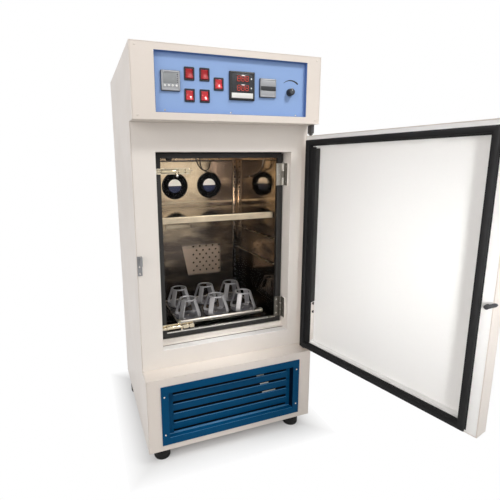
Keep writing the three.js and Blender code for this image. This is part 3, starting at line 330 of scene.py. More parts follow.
GRILLE = surface("blue_grille", (3, 73, 114), 0.5, vary=0.04, bump=0.1, bump_scale=600, wear_and_highlight=(70, 140, 175),
    wear_and_highlight_amount=0.8, smudge=0.08, specular=0.07, dirt=0.08)
# Lighter blue for blade noses and the throat's floor edges: painted highlight
GRILLE_HIGHLIGHT = surface("grille_painted_highlight", (62, 126, 172), 0.36, vary=0.06, grain=300)
# Dark blue for the throat's right wall: painted shade
GRILLE_SHADE = surface("grille_painted_shade", (3, 22, 44), 0.6, grain=300, smudge=0.08, specular=0.05)
RED = surface("switch_red", (206, 22, 36), 0.26, vary=0.03, bump=0.02, wear_and_highlight=(240, 90, 90), smudge=0.05,
    coat=0.5)
# A darker, duller copy of the switch red: painted shade on caps that catch no highlight
RED_SHADED = surface("switch_red_painted_shade", (168, 12, 24), 0.5, vary=0.03, wear_and_highlight=(190, 60, 60), smudge=0.08)
SILVER = surface("instrument_silver", (168, 170, 174), 0.38, 0.25, vary=0.03, grain=900, wear_and_highlight=(220, 222, 226),
    smudge=0.08)
DARK_FACE = surface("instrument_face", (44, 46, 50), 0.3, vary=0.03, grain=700, bump=0.03, smudge=0.06)
WINDOW = surface("display_window", (52, 16, 15), 0.2, vary=0.03, bump=0.01, smudge=0.03, coat=0.4)
BRASS = surface("plated_brass", (206, 192, 162), 0.26, 0.9, grain=400, wear_and_highlight=(245, 232, 200), wear_and_highlight_amount=0.7,
    smudge=0.12, stretch=(0.1, 1, 1), dirt=0.1)
NICKEL = surface("plated_nickel", (205, 202, 196), 0.22, 1.0, grain=400, bump=0.04, wear_and_highlight=(245, 245, 245),
    dirt=0.06)
KEEPER = surface("keeper_zinc", (150, 151, 153), 0.4, 0.35, vary=0.06, bump=0.08, wear_and_highlight=(205, 205, 207),
    dirt=0.12, dirt_scale=9)
ZINC = surface("dark_zinc", (92, 92, 94), 0.4, 0.8, vary=0.06, bump=0.08, wear_and_highlight=(170, 170, 172), dirt=0.1)
MACHINE = surface("machine_black", (28, 29, 31), 0.35, 0.1, grain=300, bump=0.2, bump_scale=350,
    wear_and_highlight=(110, 110, 112))
FINS = surface("fin_metal", (150, 150, 152), 0.4, 0.9, vary=0.25, grain=900, bump=0.9, bump_scale=700,
    stretch=(1, 1, 0.01), dirt=0.2)
PALE = surface("pale_mark", (236, 236, 232), 0.5, vary=0.02, grain=600, bump=0.02, smudge=0.08)
CABLE = surface("dark_cable", (30, 26, 24), 0.5, grain=600, smudge=0.08)
NAVY = surface("label_navy", (44, 52, 84), 0.4, grain=600, bump=0.03, smudge=0.08)
# The fascia's blue made darker for the window's side walls: painted shade
FASCIA_SHADED = surface("fascia_painted_shade", (84, 118, 176), 0.45, vary=0.02, grain=900, wear_and_highlight=(150, 175, 215),
    smudge=0.06)
GREY_CAP = surface("knob_cap_grey", (62, 66, 72), 0.32, grain=600, bump=0.03, smudge=0.08)
GREY_WINDOW = surface("grey_window", (146, 150, 152), 0.18, vary=0.02, grain=600, bump=0.01, smudge=0.04,
    coat=0.4)
INK = surface("ink", (30, 34, 44), 0.6, grain=600, bump=0.01, smudge=0.08)
# Lighter and darker copies of one hinge metal: painted light and painted shade
LEAF_LIT = surface("leaf_painted_light", (176, 172, 164), 0.34, 0.8, grain=400, wear_and_highlight=(230, 228, 222),
    stretch=(1, 1, 0.06))
LEAF_SHADED = surface("leaf_painted_shade", (112, 108, 100), 0.36, 0.85, vary=0.06, grain=400, bump=0.06,
    wear_and_highlight=(180, 176, 170), smudge=0.12, stretch=(1, 1, 0.06), dirt=0.12)
NICKEL_WARM = surface("warm_nickel", (212, 200, 176), 0.24, 1.0, grain=400, wear_and_highlight=(245, 238, 220),
    stretch=(0.1, 1, 1), dirt=0.1)
HUB_PALE = surface("hub_pale", (255, 250, 246), 0.42, vary=0.04, bump=0.03, smudge=0.06)
# Steel lighter than the chamber's other steel, for lips, ledges and strips: painted highlight
LIP_HIGHLIGHT = surface("lip_painted_highlight", (216, 198, 172), 0.36, 0.6, vary=0.09, grain=420, bump=0.06,
    wear_and_highlight=(250, 244, 228), stretch=(0.05, 1, 1), dirt=0.2, dirt_scale=13)
CLAMP_BASE = surface("clamp_base", (140, 139, 147), 0.36, 0.45, grain=300, wear_and_highlight=(225, 225, 228), smudge=0.12,
    dirt=0.1, dirt_scale=8)
COPPER = surface("copper_pipe", (190, 118, 82), 0.3, 1.0, vary=0.06, grain=300, bump=0.04, dirt=0.15)
# Chamber steels: colours fall from pale to deep as painted reflection of a brown room and painted shade
MIRROR = polished("liner_steel", (200, 176, 146), (58, 44, 34), 0.055, (380, 940), (-600, -150),
    streak=(7, 7, 26), streak_amount=0.42)
MIRROR_WALL = polished("duct_steel", (226, 202, 168), (82, 70, 62), 0.14, (560, 840), (96, 62),
    streak=(9, 9, 30), streak_amount=0.28, metallic=0.62, plate=(-26, 132, 438, 572, 0.19, (226, 202, 180)))
SHELF_TOP = polished("shelf_mirror", (176, 158, 136), (70, 60, 54), 0.07, (0, 1), (260, -120),
    streak=(5, 26, 5), streak_amount=0.45)
TRAY_STEEL = polished("tray_steel", (120, 116, 112), (44, 41, 40), 0.2, (0, 1), (600, -400),
    streak=(8, 14, 8), streak_amount=0.3)
STRIP_STEEL = polished("strip_steel", (176, 158, 140), (14, 10, 8), 0.14, (420, 960), (0, 250),
    streak=(60, 60, 9), streak_amount=0.6)
LED = glow("led_red", (214, 60, 44), 0.22)
GLASS = clear_glass("door_glass")


def dress(material, *names):
    for name in names:
        slots = NODES[name].data.materials
        slots.clear()
        slots.append(material)


dress(ENAMEL, "cabinet_shell", "rear_panel", "base_pan", "base_front", "console_front", "door_shell")
# The bay's lighter enamel is painted light
dress(ENAMEL_LIT, "front_frame")
dress(WHITE, "door_liner", *[f"controller_key_{i}" for i in range(1, 5)])
dress(FOAM, "insulation")
dress(MIRROR, "chamber_liner")
dress(MIRROR_WALL, "duct_panel")
dress(SHELF_TOP, "chamber_shelf")
dress(TRAY_STEEL, "flask_tray")
dress(NICKEL, "crank_spindle", "idler_crank")
dress(CLAMP_STEEL, *[f"flask_clamp_{i}" for i in range(1, 7)])
dress(FRAME_DARK, "inner_door_frame")
dress(DEEP, "chamber_fan_frame_1", "chamber_fan_frame_2", "chamber_fan_rotor_1", "chamber_fan_rotor_2")
dress(BLACK, "breaker_frame", "condenser_fan_rotor", "speed_knob", "speed_meter")
dress(RUBBER, "door_gasket", *[f"foot_{i}" for i in range(1, 5)])
dress(FASCIA, "control_fascia")
dress(GRILLE, "louvre_grille")
# The first two caps in the darker red: painted shade
dress(RED_SHADED, "rocker_1", "rocker_2")
dress(RED, "rocker_3", "rocker_4", "rocker_5")
dress(SILVER, "temperature_controller", "process_timer")
dress(NICKEL_WARM, "bolt_body_upper", "bolt_body_lower", "bolt_rod_upper", "bolt_rod_lower")
dress(ZINC, "latch_lever", "door_hinge_lower")
dress(KEEPER, "latch_keeper", "door_hinge_upper")
dress(MACHINE, "shaker_motor", "compressor")
dress(FINS, "condenser")
dress(GLASS, "inner_door_glass")


# Mesh helpers, in millimetres of the cabinet's own frame: each draws into bm, and make() ends the piece
bm = bmesh.new()


def make(name, material, body="cabinet", smooth=40, place=Matrix.Identity(4)):
    """Makes a piece of all that is in bm. Edges below the angle smooth, in degrees, are shaded smooth."""
    global bm
    bmesh.ops.recalc_face_normals(bm, faces=bm.faces)
    mesh = bpy.data.meshes.new(name)
    bm.to_mesh(mesh)
    bm.free()
    bm = bmesh.new()
    mesh.transform(Matrix.Translation(SHIFT) @ Matrix.Scale(0.001, 4) @ place)
    obj = bpy.data.objects.new(name, mesh)
    SCENE.collection.objects.link(obj)
    mesh.materials.append(material)
    if smooth:
        mesh.polygons.foreach_set("use_smooth", [True] * len(mesh.polygons))
        mesh.set_sharp_from_angle(angle=math.radians(smooth))
    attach(obj, body)
    return obj


def bevel_edges(edges, offset, segments=2):
    bmesh.ops.bevel(bm, geom=list(edges), offset=offset, segments=segments, profile=0.6, affect="EDGES")


def add_box(x0, x1, y0, y1, z0, z1, bevel=0.0, segments=2):
    verts = bmesh.ops.create_cube(bm, size=1.0)["verts"]
    for v in verts:
        v.co = Vector(((x0 + x1) / 2 + v.co.x * (x1 - x0), (y0 + y1) / 2 + v.co.y * (y1 - y0),
                       (z0 + z1) / 2 + v.co.z * (z1 - z0)))
    if bevel:
        bevel_edges({e for v in verts for e in v.link_edges}, bevel, segments)


AXES = {"X": Matrix.Rotation(math.pi / 2, 4, "Y"), "Y": Matrix.Rotation(-math.pi / 2, 4, "X"),
        "Z": Matrix.Identity(4)}


def circle(radius, sides):
    return [(radius * math.cos(2 * math.pi * i / sides), radius * math.sin(2 * math.pi * i / sides))
            for i in range(sides)]


def add_lathe(profile, center, axis="Z", sides=32):
    """profile is a list of (radius, height along the axis); a radius of 0 closes the end."""
    turn = Matrix.Translation(Vector(center)) @ AXES[axis]
    rings = [[bm.verts.new(turn @ Vector((a, b, h))) for a, b in (circle(r, sides) if r else [(0, 0)])]
             for r, h in profile]
    for a, b in zip(rings, rings[1:]):
        if len(a) == len(b) == 1:
            continue
        for i in range(sides):
            j = (i + 1) % sides
            if len(a) == 1:
                bm.faces.new((a[0], b[i], b[j]))
            elif len(b) == 1:
                bm.faces.new((a[i], b[0], a[j]))
            else:
                bm.faces.new((a[i], b[i], b[j], a[j]))


def add_prism(outline, axis, low, high, bevel=0.0):
    """A flat outline in the two other axes, pushed along one axis."""
    def at(a, b, c):
        return {"X": (c, a, b), "Y": (a, c, b), "Z": (a, b, c)}[axis]
    lows = [bm.verts.new(at(a, b, low)) for a, b in outline]
    highs = [bm.verts.new(at(a, b, high)) for a, b in outline]
    faces = [bm.faces.new(lows), bm.faces.new(highs[::-1])]
    for i in range(len(outline)):
        j = (i + 1) % len(outline)
        faces.append(bm.faces.new((lows[i], highs[i], highs[j], lows[j])))
    bmesh.ops.recalc_face_normals(bm, faces=faces)
    if bevel:
        bevel_edges({e for f in faces for e in f.edges}, bevel)


def rect(a0, b0, a1, b1):
    return [(a0, b0), (a1, b0), (a1, b1), (a0, b1)]


def skin(rings, closed=False):
    """Quads between each ring of vertices and the next, and from the last to the first if closed."""
    n = len(rings[0])
    for a, b in zip(rings, rings[1:] + rings[:1] if closed else rings[1:]):
        for k in range(n):
            j = (k + 1) % n
            bm.faces.new((a[k], a[j], b[j], b[k]))


def add_ring_sweep(x0, x1, z0, z1, profile, corner=0.0, corner_steps=4):
    """A closed profile of (inward, depth) swept round a rectangle with mitred or rounded corners."""
    loops = []
    corners = ((x0, z0, 1, 1, 1.0), (x1, z0, -1, 1, 1.5), (x1, z1, -1, -1, 0.0), (x0, z1, 1, -1, 0.5))
    for cx, cz, sx, sz, start in corners:
        if corner <= 0:
            loops.append([(cx + sx * inward, cz + sz * inward, depth) for inward, depth in profile])
            continue
        for k in range(corner_steps + 1):
            a = start * math.pi + k / corner_steps * math.pi / 2
            ox, oz = cx + sx * corner, cz + sz * corner
            loops.append([(ox + (corner - inward) * math.cos(a), oz + (corner - inward) * math.sin(a), depth)
                          for inward, depth in profile])
    skin([[bm.verts.new((x, d, z)) for x, z, d in loop] for loop in loops], closed=True)


def screw_head(x, y, z, axis, radius=3.2, height=1.4, sign=-1):
    """A domed head with a dished recess, standing out along sign times the axis."""
    profile = [(radius, 0), (radius, sign * height * 0.35), (radius * 0.8, sign * height * 0.8),
               (radius * 0.45, sign * height), (radius * 0.42, sign * height * 0.55),
               (0, sign * height * 0.5)]
    add_lathe(profile, (x, y, z), axis, 14)


def curve_piece(name, points, radius, material, body="cabinet"):
    data = bpy.data.curves.new(name, "CURVE")
    data.dimensions = "3D"
    data.bevel_depth = radius / 1000
    data.bevel_resolution = 3
    data.resolution_u = 6
    spline = data.splines.new("NURBS")
    spline.points.add(len(points) - 1)
    for p, q in zip(spline.points, points):
        p.co = (*P(*q), 1)
    spline.use_endpoint_u = True
    spline.order_u = 4
    data.materials.append(material)
    obj = bpy.data.objects.new(name, data)
    SCENE.collection.objects.link(obj)
    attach(obj, body)


# The outer door's pieces are drawn with the door shut, and turned open about its hinge
HINGE = Vector((265, 30, 0))
OPEN = math.radians(103)
DOOR = Matrix.Translation(HINGE) @ Matrix.Rotation(OPEN, 4, "Z") @ Matrix.Translation(-HINGE)

# Outer door: bellows gasket, the trims of the liner's pocket with their clips, and screws; the pocket's trim
# is dark above as painted shade, and takes the lighter bay enamel below as painted light
add_ring_sweep(-249, 258.5, 294, 955, [(0.6, 42.3), (0, 44.2), (2.2, 46.6), (0.9, 49.5), (0, 53.5),
    (1.2, 57.6), (4.4, 59.6), (10.6, 59.6), (13.6, 57.8), (15, 54), (13.8, 50.8), (16.6, 48), (18, 44.6),
    (17.4, 42.3)])
add_prism([(42.3, 314), (49.6, 314.6), (51.4, 318), (51.4, 930), (49.6, 933.4), (42.3, 934)], "X", 226.7,
    241.4, 1.0)
gasket = make("door_gasket_bellows", RUBBER, "outer_door", 50, place=DOOR)
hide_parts("door_gasket")

# Upper trim dark: painted shade on the pocket wall
add_prism([(26.2, 452), (40.8, 450), (40.8, 930), (26.2, 930)], "X", 227.6, 228.9, 0.4)
make("door_pocket_trim", FRAME_DARK, "outer_door", 30, place=DOOR)
# Lower trim in the lighter bay enamel: painted light
add_prism([(26.2, 321), (40.8, 321), (40.8, 446), (26.2, 448)], "X", 227.6, 228.9, 0.4)
make("door_pocket_trim_low", ENAMEL_LIT, "outer_door", 30, place=DOOR)
for z in (418, 446):
    add_box(225.8, 227.6, 30, 37, z - 3, z + 3, 0.5)
    add_box(224.6, 225.9, 32, 35, z - 5, z + 5, 0.4)
make("door_trim_clips", MACHINE, "outer_door", 30, place=DOOR)
for x in (-239, 239):
    for z in (320, 440, 560, 690, 810, 932):
        screw_head(x, 41.9, z, "Y", 2.6, 1.1, sign=1)
make("door_liner_screws", NICKEL, "outer_door", place=DOOR)

# Outer door latch: drawn upright about its spindle, then turned to its angle at rest and with the door
SPINDLE = (-260.5, 0, 590)
LATCH_REST = math.radians(-60)
LATCH = DOOR @ Matrix.Translation(SPINDLE) @ Matrix.Rotation(LATCH_REST, 4, "Y")
add_lathe([(0, -0.4), (10.4, -0.4), (10.5, -3), (9.6, -4.2), (9.6, -12.6), (10.5, -14), (10.2, -22.4),
    (8.6, -24), (0, -24.2)], (0, 0, 0), "Y", 40)
add_lathe([(0, -6), (5, -6), (5, 50.9), (4.4, 51.2), (0, 51.2)], (0, 0, 0), "Y", 24)
outline = []
for i in range(13):
    a = math.pi * i / 12
    outline.append((7.4 * math.cos(a), 0.2 + 7.2 * math.sin(a)))
outline += [(-7.4, -40), (-5.6, -52), (-5.6, -92), (-7.2, -104)]
for i in range(9):
    a = math.pi + math.pi * i / 8
    outline.append((7.2 * math.cos(a), -104.8 + 7.2 * math.sin(a)))
outline += [(7.2, -104), (5.6, -92), (5.6, -52), (7.4, -40)]
add_prism(outline, "Y", -23, -14.2, 1.6)
add_prism([(-4, -4), (4, -4), (4, 18), (2, 22), (-2, 22), (-4, 18)], "Y", 47.7, 51.2, 0.5)
handle = make("latch_handle", ZINC, "latch_lever", place=LATCH)
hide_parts("latch_lever")
screw_head(0, -24.1, 0, "Y", 4, 1.2)
add_box(-3.4, 3.4, -23.9, -23.1, -90, -58, 0.35)
make("latch_handle_screw", NICKEL, "latch_lever", place=LATCH)
add_ring_sweep(-270.6, -236, 566, 614, [(0.6, -0.05), (0, -0.7), (0.8, -1.4), (9, -1.4), (9.4, -0.05)],
    corner=4)
make("latch_rose", NICKEL, "outer_door", place=DOOR)

# Outer door skin: corner plugs
for x in (-250, 250):
    for z in (300, 954):
        add_lathe([(0, -1.3), (3.4, -1.1), (4.6, -0.3), (4.8, 0.1), (0, 0.1)], (x, 0, z), "Y", 20)
make("door_skin_plugs", ENAMEL, "outer_door", place=DOOR)

# Outer door hinges: the upper one's block, washer, nut and screws, and the lower one's washer and rivets
for name, z0, z1, top in (("upper", 975.2, 999.4, True), ("lower", 279.6, 283.8, False)):
    if top:
        add_prism(rect(260.2, 20, 269.8, 40.4), "Z", z0, z1, 0.7)
        add_lathe([(0, 0), (6, 0), (6.6, 0.8), (6.6, 2.4), (5.6, 3.2), (0, 3.2)], (265, 30, z0 - 3.4), "Z",
            24)
        add_lathe([(0, 0), (4.4, 0), (4.4, 5.6), (0, 5.6)], (265, 30, 968.3), "Z", 6)
        for z in (982, 992):
            screw_head(265, 20, z, "Y", 2.3, 1.0)
    else:
        add_lathe([(0, 0), (6, 0), (6.4, 0.4), (6.4, 1.2), (0, 1.2)], (265, 30, z1), "Z", 24)
        for x in (260.4, 269.6):
            add_lathe([(0, 0.9), (1.8, 0.9), (2.2, 0)], (x, 23, z1 + 0.2), "Z", 12)
    fittings = make("door_hinge_fittings_" + name, ZINC if top else NICKEL)
    if top:
        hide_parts("door_hinge_upper")

# Keeper: screws in its plate
for z in (584, 603):
    screw_head(-264, 57.1, z, "Y", 2.5, 1.3)
make("keeper_screws", NICKEL)

# Feet: turned rubber with a moulded groove
for i, (x, y) in enumerate(((-226, 42), (226, 42), (-245, 425), (245, 425)), 1):
    add_lathe([(0, 1.4), (15, 1.4), (16, 0), (21.6, 0), (23.6, 0.9), (24.8, 2.9), (25.3, 5.6), (25.3, 12.6),
        (24.6, 13.6), (25.3, 14.6), (25.5, 30), (25.3, 40), (24.2, 43.4), (22, 44.6), (0, 44.6)], (x, y, 0),
        "Z", 48)
    foot = make(f"rubber_foot_{i}", RUBBER)
    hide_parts(f"foot_{i}")

# Console: the blue lining of the window, darker than the fascia as painted shade, and the fascia's screws
add_ring_sweep(-211.9, 226.9, 1018.6, 1165.9, [(0, 0.6), (0, 11.2), (1.1, 11.2), (1.1, 0.9), (0.6, 0.4)])
make("window_lining", FASCIA_SHADED, smooth=30)
for x, z in ((-186, 1025), (-3, 1024), (199, 1023)):
    screw_head(x, 11.25, z, "Y", 2.4, 1.2)
make("fascia_screws", NICKEL)

# Rocker switches: surrounds, and dished caps in their tilt at rest; the first two in the darker red as
# painted shade
ROCKER_TILT = -0.14
ROCKERS = ((-119, 1117.5), (-77.5, 1117.5), (-38, 1096), (-119, 1064), (-77.5, 1064))
for i, (x, z) in enumerate(ROCKERS, 1):
    add_ring_sweep(x - 13.7, x + 13.7, z - 16.5, z + 16.5, [(0, 11.2), (0, 9.4), (0.7, 8.5), (2.6, 8.2),
        (3.3, 8.6), (3.38, 9.6), (3.38, 13.1), (0.9, 13.1)], corner=1.8)
    make(f"rocker_surround_{i}", BLACK)
    rows = []
    for k in range(21):
        pz = -12 + 24 * k / 20
        edge = 0.9 if k in (0, 20) else 0.0
        face = -(1.0 + 2.7 * (abs(pz) / 12) ** 1.6) + edge
        rows.append([bm.verts.new(c) for c in ((-10, 5, pz), (-10, face + 0.9, pz), (-9.1, face, pz),
            (0, face + 0.12, pz), (9.1, face, pz), (10, face + 0.9, pz), (10, 5, pz))])
    skin(rows)
    bm.faces.new(rows[0])
    bm.faces.new(rows[-1][::-1])
    tilt = Matrix.Translation((x, 11.3, z)) @ Matrix.Rotation(ROCKER_TILT, 4, "X")
    cap = make(f"rocker_cap_{i}", RED_SHADED if i < 3 else RED, f"switch_{i}", 50, place=tilt)
    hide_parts(f"rocker_{i}")


def fluted(x, z, y_front, y_back, r_front, r_back, flutes=18, depth=0.7):
    """A fluted cone along Y with a rounded front rim."""
    sides = flutes * 4
    rows = [(y_back, r_back, 1), (y_back - 1.2, r_back, 1), (y_front + 1.6, r_front, 1),
        (y_front + 0.5, r_front - 0.7, 0.5), (y_front, r_front - 1.8, 0)]
    rings = []
    for y, r, share in rows:
        ring = []
        for k in range(sides):
            a = 2 * math.pi * k / sides
            rr = r - share * depth * (0.5 - 0.5 * math.cos(flutes * a))
            ring.append(bm.verts.new((x + rr * math.cos(a), y, z + rr * math.sin(a))))
        rings.append(ring)
    skin(rings)
    bm.faces.new(rings[-1])
    bm.faces.new(rings[0][::-1])


# Speed knob: fluted skirt, grey cap and a pointer
KNOB_X, KNOB_Z = 177, 1085
fluted(KNOB_X, KNOB_Z, -5.9, 10.4, 9.2, 10.5)
add_lathe([(0, 9), (3, 9), (3, 19.5), (0, 19.5)], (KNOB_X, 0, KNOB_Z), "Y", 16)
knob = make("knob_body", BLACK, "knob")
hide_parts("speed_knob")
add_lathe([(6.9, -5.8), (6.7, -6.4), (5.8, -6.75), (0, -6.85)], (KNOB_X, 0, KNOB_Z), "Y", 40)
make("knob_cap", GREY_CAP, "knob")
add_box(176.5, 177.5, -7.0, -6.5, 1087.5, 1091.4, 0.15)
add_box(176.4, 177.6, -5.6, 6, 1093.9, 1095.3, 0.15)
make("knob_pointer", PALE, "knob", 30)

# Printed arc over the knob, thickening to the right
mid = Vector((179, 1083))
inner, outer = [], []
steps = 22
for k in range(steps + 1):
    s = k / steps
    a = math.radians(128 - 82 * s)
    r = 34 + 1.2 * s
    w = 0.5 + 2.6 * s ** 0.8 if s < 0.97 else 2.2
    outer.append((mid.x + (r + w) * math.cos(a), mid.y + (r + w) * math.sin(a)))
    inner.append((mid.x + (r - w * 0.5) * math.cos(a), mid.y + (r - w * 0.5) * math.sin(a)))
rows = [[bm.verts.new((x, y, z)) for x, z in edge] for y in (11.12, 11.3) for edge in (outer, inner)]
for k in range(steps):
    for a, b in ((0, 1), (2, 3), (0, 2), (1, 3)):
        bm.faces.new((rows[a][k], rows[a][k + 1], rows[b][k + 1], rows[b][k]))
for k in (0, steps):
    bm.faces.new([rows[i][k] for i in (0, 1, 3, 2)])
make("speed_arc_mark", INK, smooth=0)


def small_bezel(name, x, z):
    add_ring_sweep(x - 24, x + 24, z - 24, z + 24, [(0.1, 6.4), (0.1, 5.3), (0.9, 4.9), (3.3, 4.9), (4, 5.4),
        (4, 6.4)], corner=1.6)
    make(name + "_bezel", SILVER)


# Panel instruments: skirts, bezels, windows, marks and figures
CONTROLLER, METER, TIMER = (-169.5, 1097), (29, 1094.5), (107, 1093)
for name, (x, z), half in (("controller", CONTROLLER, 24), ("meter", METER, 36), ("timer", TIMER, 24)):
    add_ring_sweep(x - half - 1, x + half + 1, z - half - 1, z + half + 1, [(0, 11.2), (0, 7.2), (0.5, 6.5),
        (0.96, 6.5), (0.96, 11.2)], corner=1.6)
    make(name + "_skirt", BLACK)

x, z = CONTROLLER
small_bezel("controller", x, z)
add_box(x - 18.6, x + 15.6, 5.9, 6.5, z - 6.5, z + 18.6, 0.35)
make("controller_window", GREY_WINDOW, smooth=30)
for k, dz in enumerate((15.5, 11.5, 5.0, 0.5, -3.5)):
    add_box(x + 16.6, x + 19.2, 6.15, 6.5, z + dz - 0.9, z + dz + 0.9, 0.12)
make("controller_marks", INK, smooth=30)

x, z = METER
DISPLAYS = (z + 18.6, z - 5.2)
add_ring_sweep(x - 36, x + 36, z - 36, z + 36, [(0.1, 6.4), (0.1, 5.4), (1, 4.8), (3.4, 4.8), (4.1, 5.5),
    (4.1, 6.4)], corner=2)
make("meter_bezel", BLACK)
add_box(x - 31.6, x + 31.6, 5.9, 6.5, z - 16.4, z + 31.6, 0.3)
make("meter_face", DARK_FACE, smooth=30)
for middle in DISPLAYS:
    add_box(x - 18.4, x + 21.4, 5.55, 5.95, middle - 9.6, middle + 9.6, 0.3)
make("meter_windows", WINDOW, smooth=30)
add_box(x - 31.6, x + 31.6, 5.6, 6.5, z - 31.4, z - 18.2, 0.3)
make("meter_plate", PALE, smooth=30)
for middle in DISPLAYS:
    add_lathe([(2.1, 5.95), (2.1, 5.5), (1.4, 5.2), (0, 5.1)], (x + 26.4, 0, middle), "Y", 18)
make("meter_lamps", PALE)

# The middle of each segment of a figure, in half widths and half heights, and whether the segment lies flat
SEGMENTS = ((0, 1, True), (1, 0.5, False), (1, -0.5, False), (0, -1, True), (-1, -0.5, False),
    (-1, 0.5, False), (0, 0, True))


def figure_eight(x, z, w=3.9, h=6.4, t=1.15, y0=5.3, y1=5.6, slant=0.08):
    for cx, cz, flat in SEGMENTS:
        cx, cz = cx * w, cz * h
        if flat:
            pts = [(-w + t * 0.55, 0), (-w + t, t / 2), (w - t, t / 2), (w - t * 0.55, 0), (w - t, -t / 2),
                (-w + t, -t / 2)]
        else:
            e = h / 2
            pts = [(0, e - t * 0.3), (t / 2, e - t * 0.7), (t / 2, -e + t * 0.7), (0, -e + t * 0.3),
                (-t / 2, -e + t * 0.7), (-t / 2, e - t * 0.7)]
        outline = [(x + cx + px + slant * (cz + pz), z + cz + pz) for px, pz in pts]
        add_prism(outline, "Y", y0, y1)


for middle in DISPLAYS:
    for k in range(3):
        figure_eight(x - 10.6 + 12 * k, middle)
make("meter_figures", LED, smooth=0)

x, z = TIMER
small_bezel("timer", x, z)
add_box(x - 23.2, x + 23.2, 4.3, 6.5, z - 6.4, z + 4.4, 0.5)
make("timer_band", DARK_FACE, smooth=30)
add_box(x - 20, x + 20, 5.2, 6.5, z + 6.2, z + 19.8, 0.6)
add_box(x - 20, x + 20, 5.2, 6.5, z - 19.8, z - 8.2, 0.6)
add_box(x - 20, x + 20, 4.9, 6.5, z + 4.6, z + 6.0, 0.3)
make("timer_flaps", SILVER, smooth=30)

# Console sheet: rivets
for x in (-258, 258):
    for z in (1010, 1174):
        add_lathe([(0, -0.9), (1.6, -0.75), (2.4, -0.2), (2.5, 0.05), (0, 0.05)], (x, 0, z), "Y", 16)
make("console_rivets", ENAMEL)

# Grille: corner screws, the bright dashes behind the slots, and blade noses and the throat's edges in
# lighter blue as painted highlight; a dark plate on the throat's right wall and a dark backing, painted shade
for x in (-221, 220):
    for z in (98, 222):
        screw_head(x, -3.05, z, "Y", 2.8, 1.5)
make("grille_screws", NICKEL)
for x0, x1, z in ((85, 111, 214), (98, 128, 183), (106, 154, 152)):
    add_prism(rect(18.4, z - 1.9, 19.6, z + 1.9), "X", x0, x1, 0.3)
make("condenser_tags", PALE, smooth=30)
SLOTS, SLOT_LOW, SLOT_PITCH, SLOT_HALF = 5, 94.8, 30.85, 3.7
# Blade noses in lighter blue: painted highlight
for k in range(SLOTS):
    z = SLOT_LOW + SLOT_PITCH * k - SLOT_HALF
    add_prism([(13.3, z - 2.5), (12.7, z - 1.9), (12.6, z - 1.0), (13.2, z - 0.3), (14.2, z - 0.1),
        (14.2, z - 2.5)], "X", -191.5, 190.5)
make("blade_noses", GRILLE_HIGHLIGHT, smooth=60)
# Lighter edges of the throat's floor: painted highlight
add_prism([(12.4, 86.05), (13.6, 86.05), (13.6, 88.4), (13.0, 86.9)], "X", -208.6, 206.8)
add_prism([(-2.9, 86.02), (-1.7, 86.02), (-1.7, 86.6), (-2.6, 86.6)], "X", -208.6, 206.8)
make("throat_floor_edge", GRILLE_HIGHLIGHT, smooth=30)
# Dark plate on the throat's right wall: painted shade
add_prism(rect(-2.4, 86.9, 13.9, 231.6), "X", 207.2, 207.95, 0.2)
add_prism([(10.8, 86.9), (13.9, 86.9), (13.9, 231.6), (12.6, 231.6)], "X", 203.8, 207.2, 0.2)
make("throat_painted_shade", GRILLE_SHADE, smooth=30)
# Dark backing behind the slots: painted shade
add_ring_sweep(-201, 200, 76, 242, [(-6, 21.2), (-6, 22), (3, 22), (3, 21.2)])
add_box(-200, 199, 22.4, 23.4, 77, 241, 0.4)
make("grille_shade_backing", DEEP, smooth=30)

# Sill of the opening: folded front strip, whiter than the enamel as painted light, and the joint behind it
add_prism([(60.6, 335.2), (60.9, 336.5), (62.4, 337.1), (86.6, 336.9), (87.4, 336.05), (87.4, 335.2)], "X",
    -205.8, 216.8, 0.1)
make("sill_strip", SILL_LIT)
add_prism(rect(87.7, 336.02, 92.2, 336.35), "X", -205.6, 216.6)
make("sill_joint", SILL_JOINT, smooth=0)

# Inner door: four butted bars, glazing bead, hinge leaves with screws, knuckles and pin caps
for x0, x1 in ((-203, -184), (195, 214)):
    add_box(x0, x1, 105, 119, 352, 918, 1.2)
for z0, z1 in ((352, 371), (905.4, 918)):
    add_box(-184.05, 195.05, 105.15, 119, z0, z1, 0.9)
bars = make("inner_door_bars", FRAME_DARK, "inner_door", 30)
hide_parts("inner_door_frame")
add_prism([(103.9, 368.2), (105.2, 368), (105.2, 371.2), (109.1, 371.2), (109.1, 372.2), (104.3, 372.2)], "X",
    -183.5, 194.5, 0.2)
make("glazing_bead_low", NICKEL, "inner_door", 30)
PIN_X, PIN_Y = 212.5, 100.5
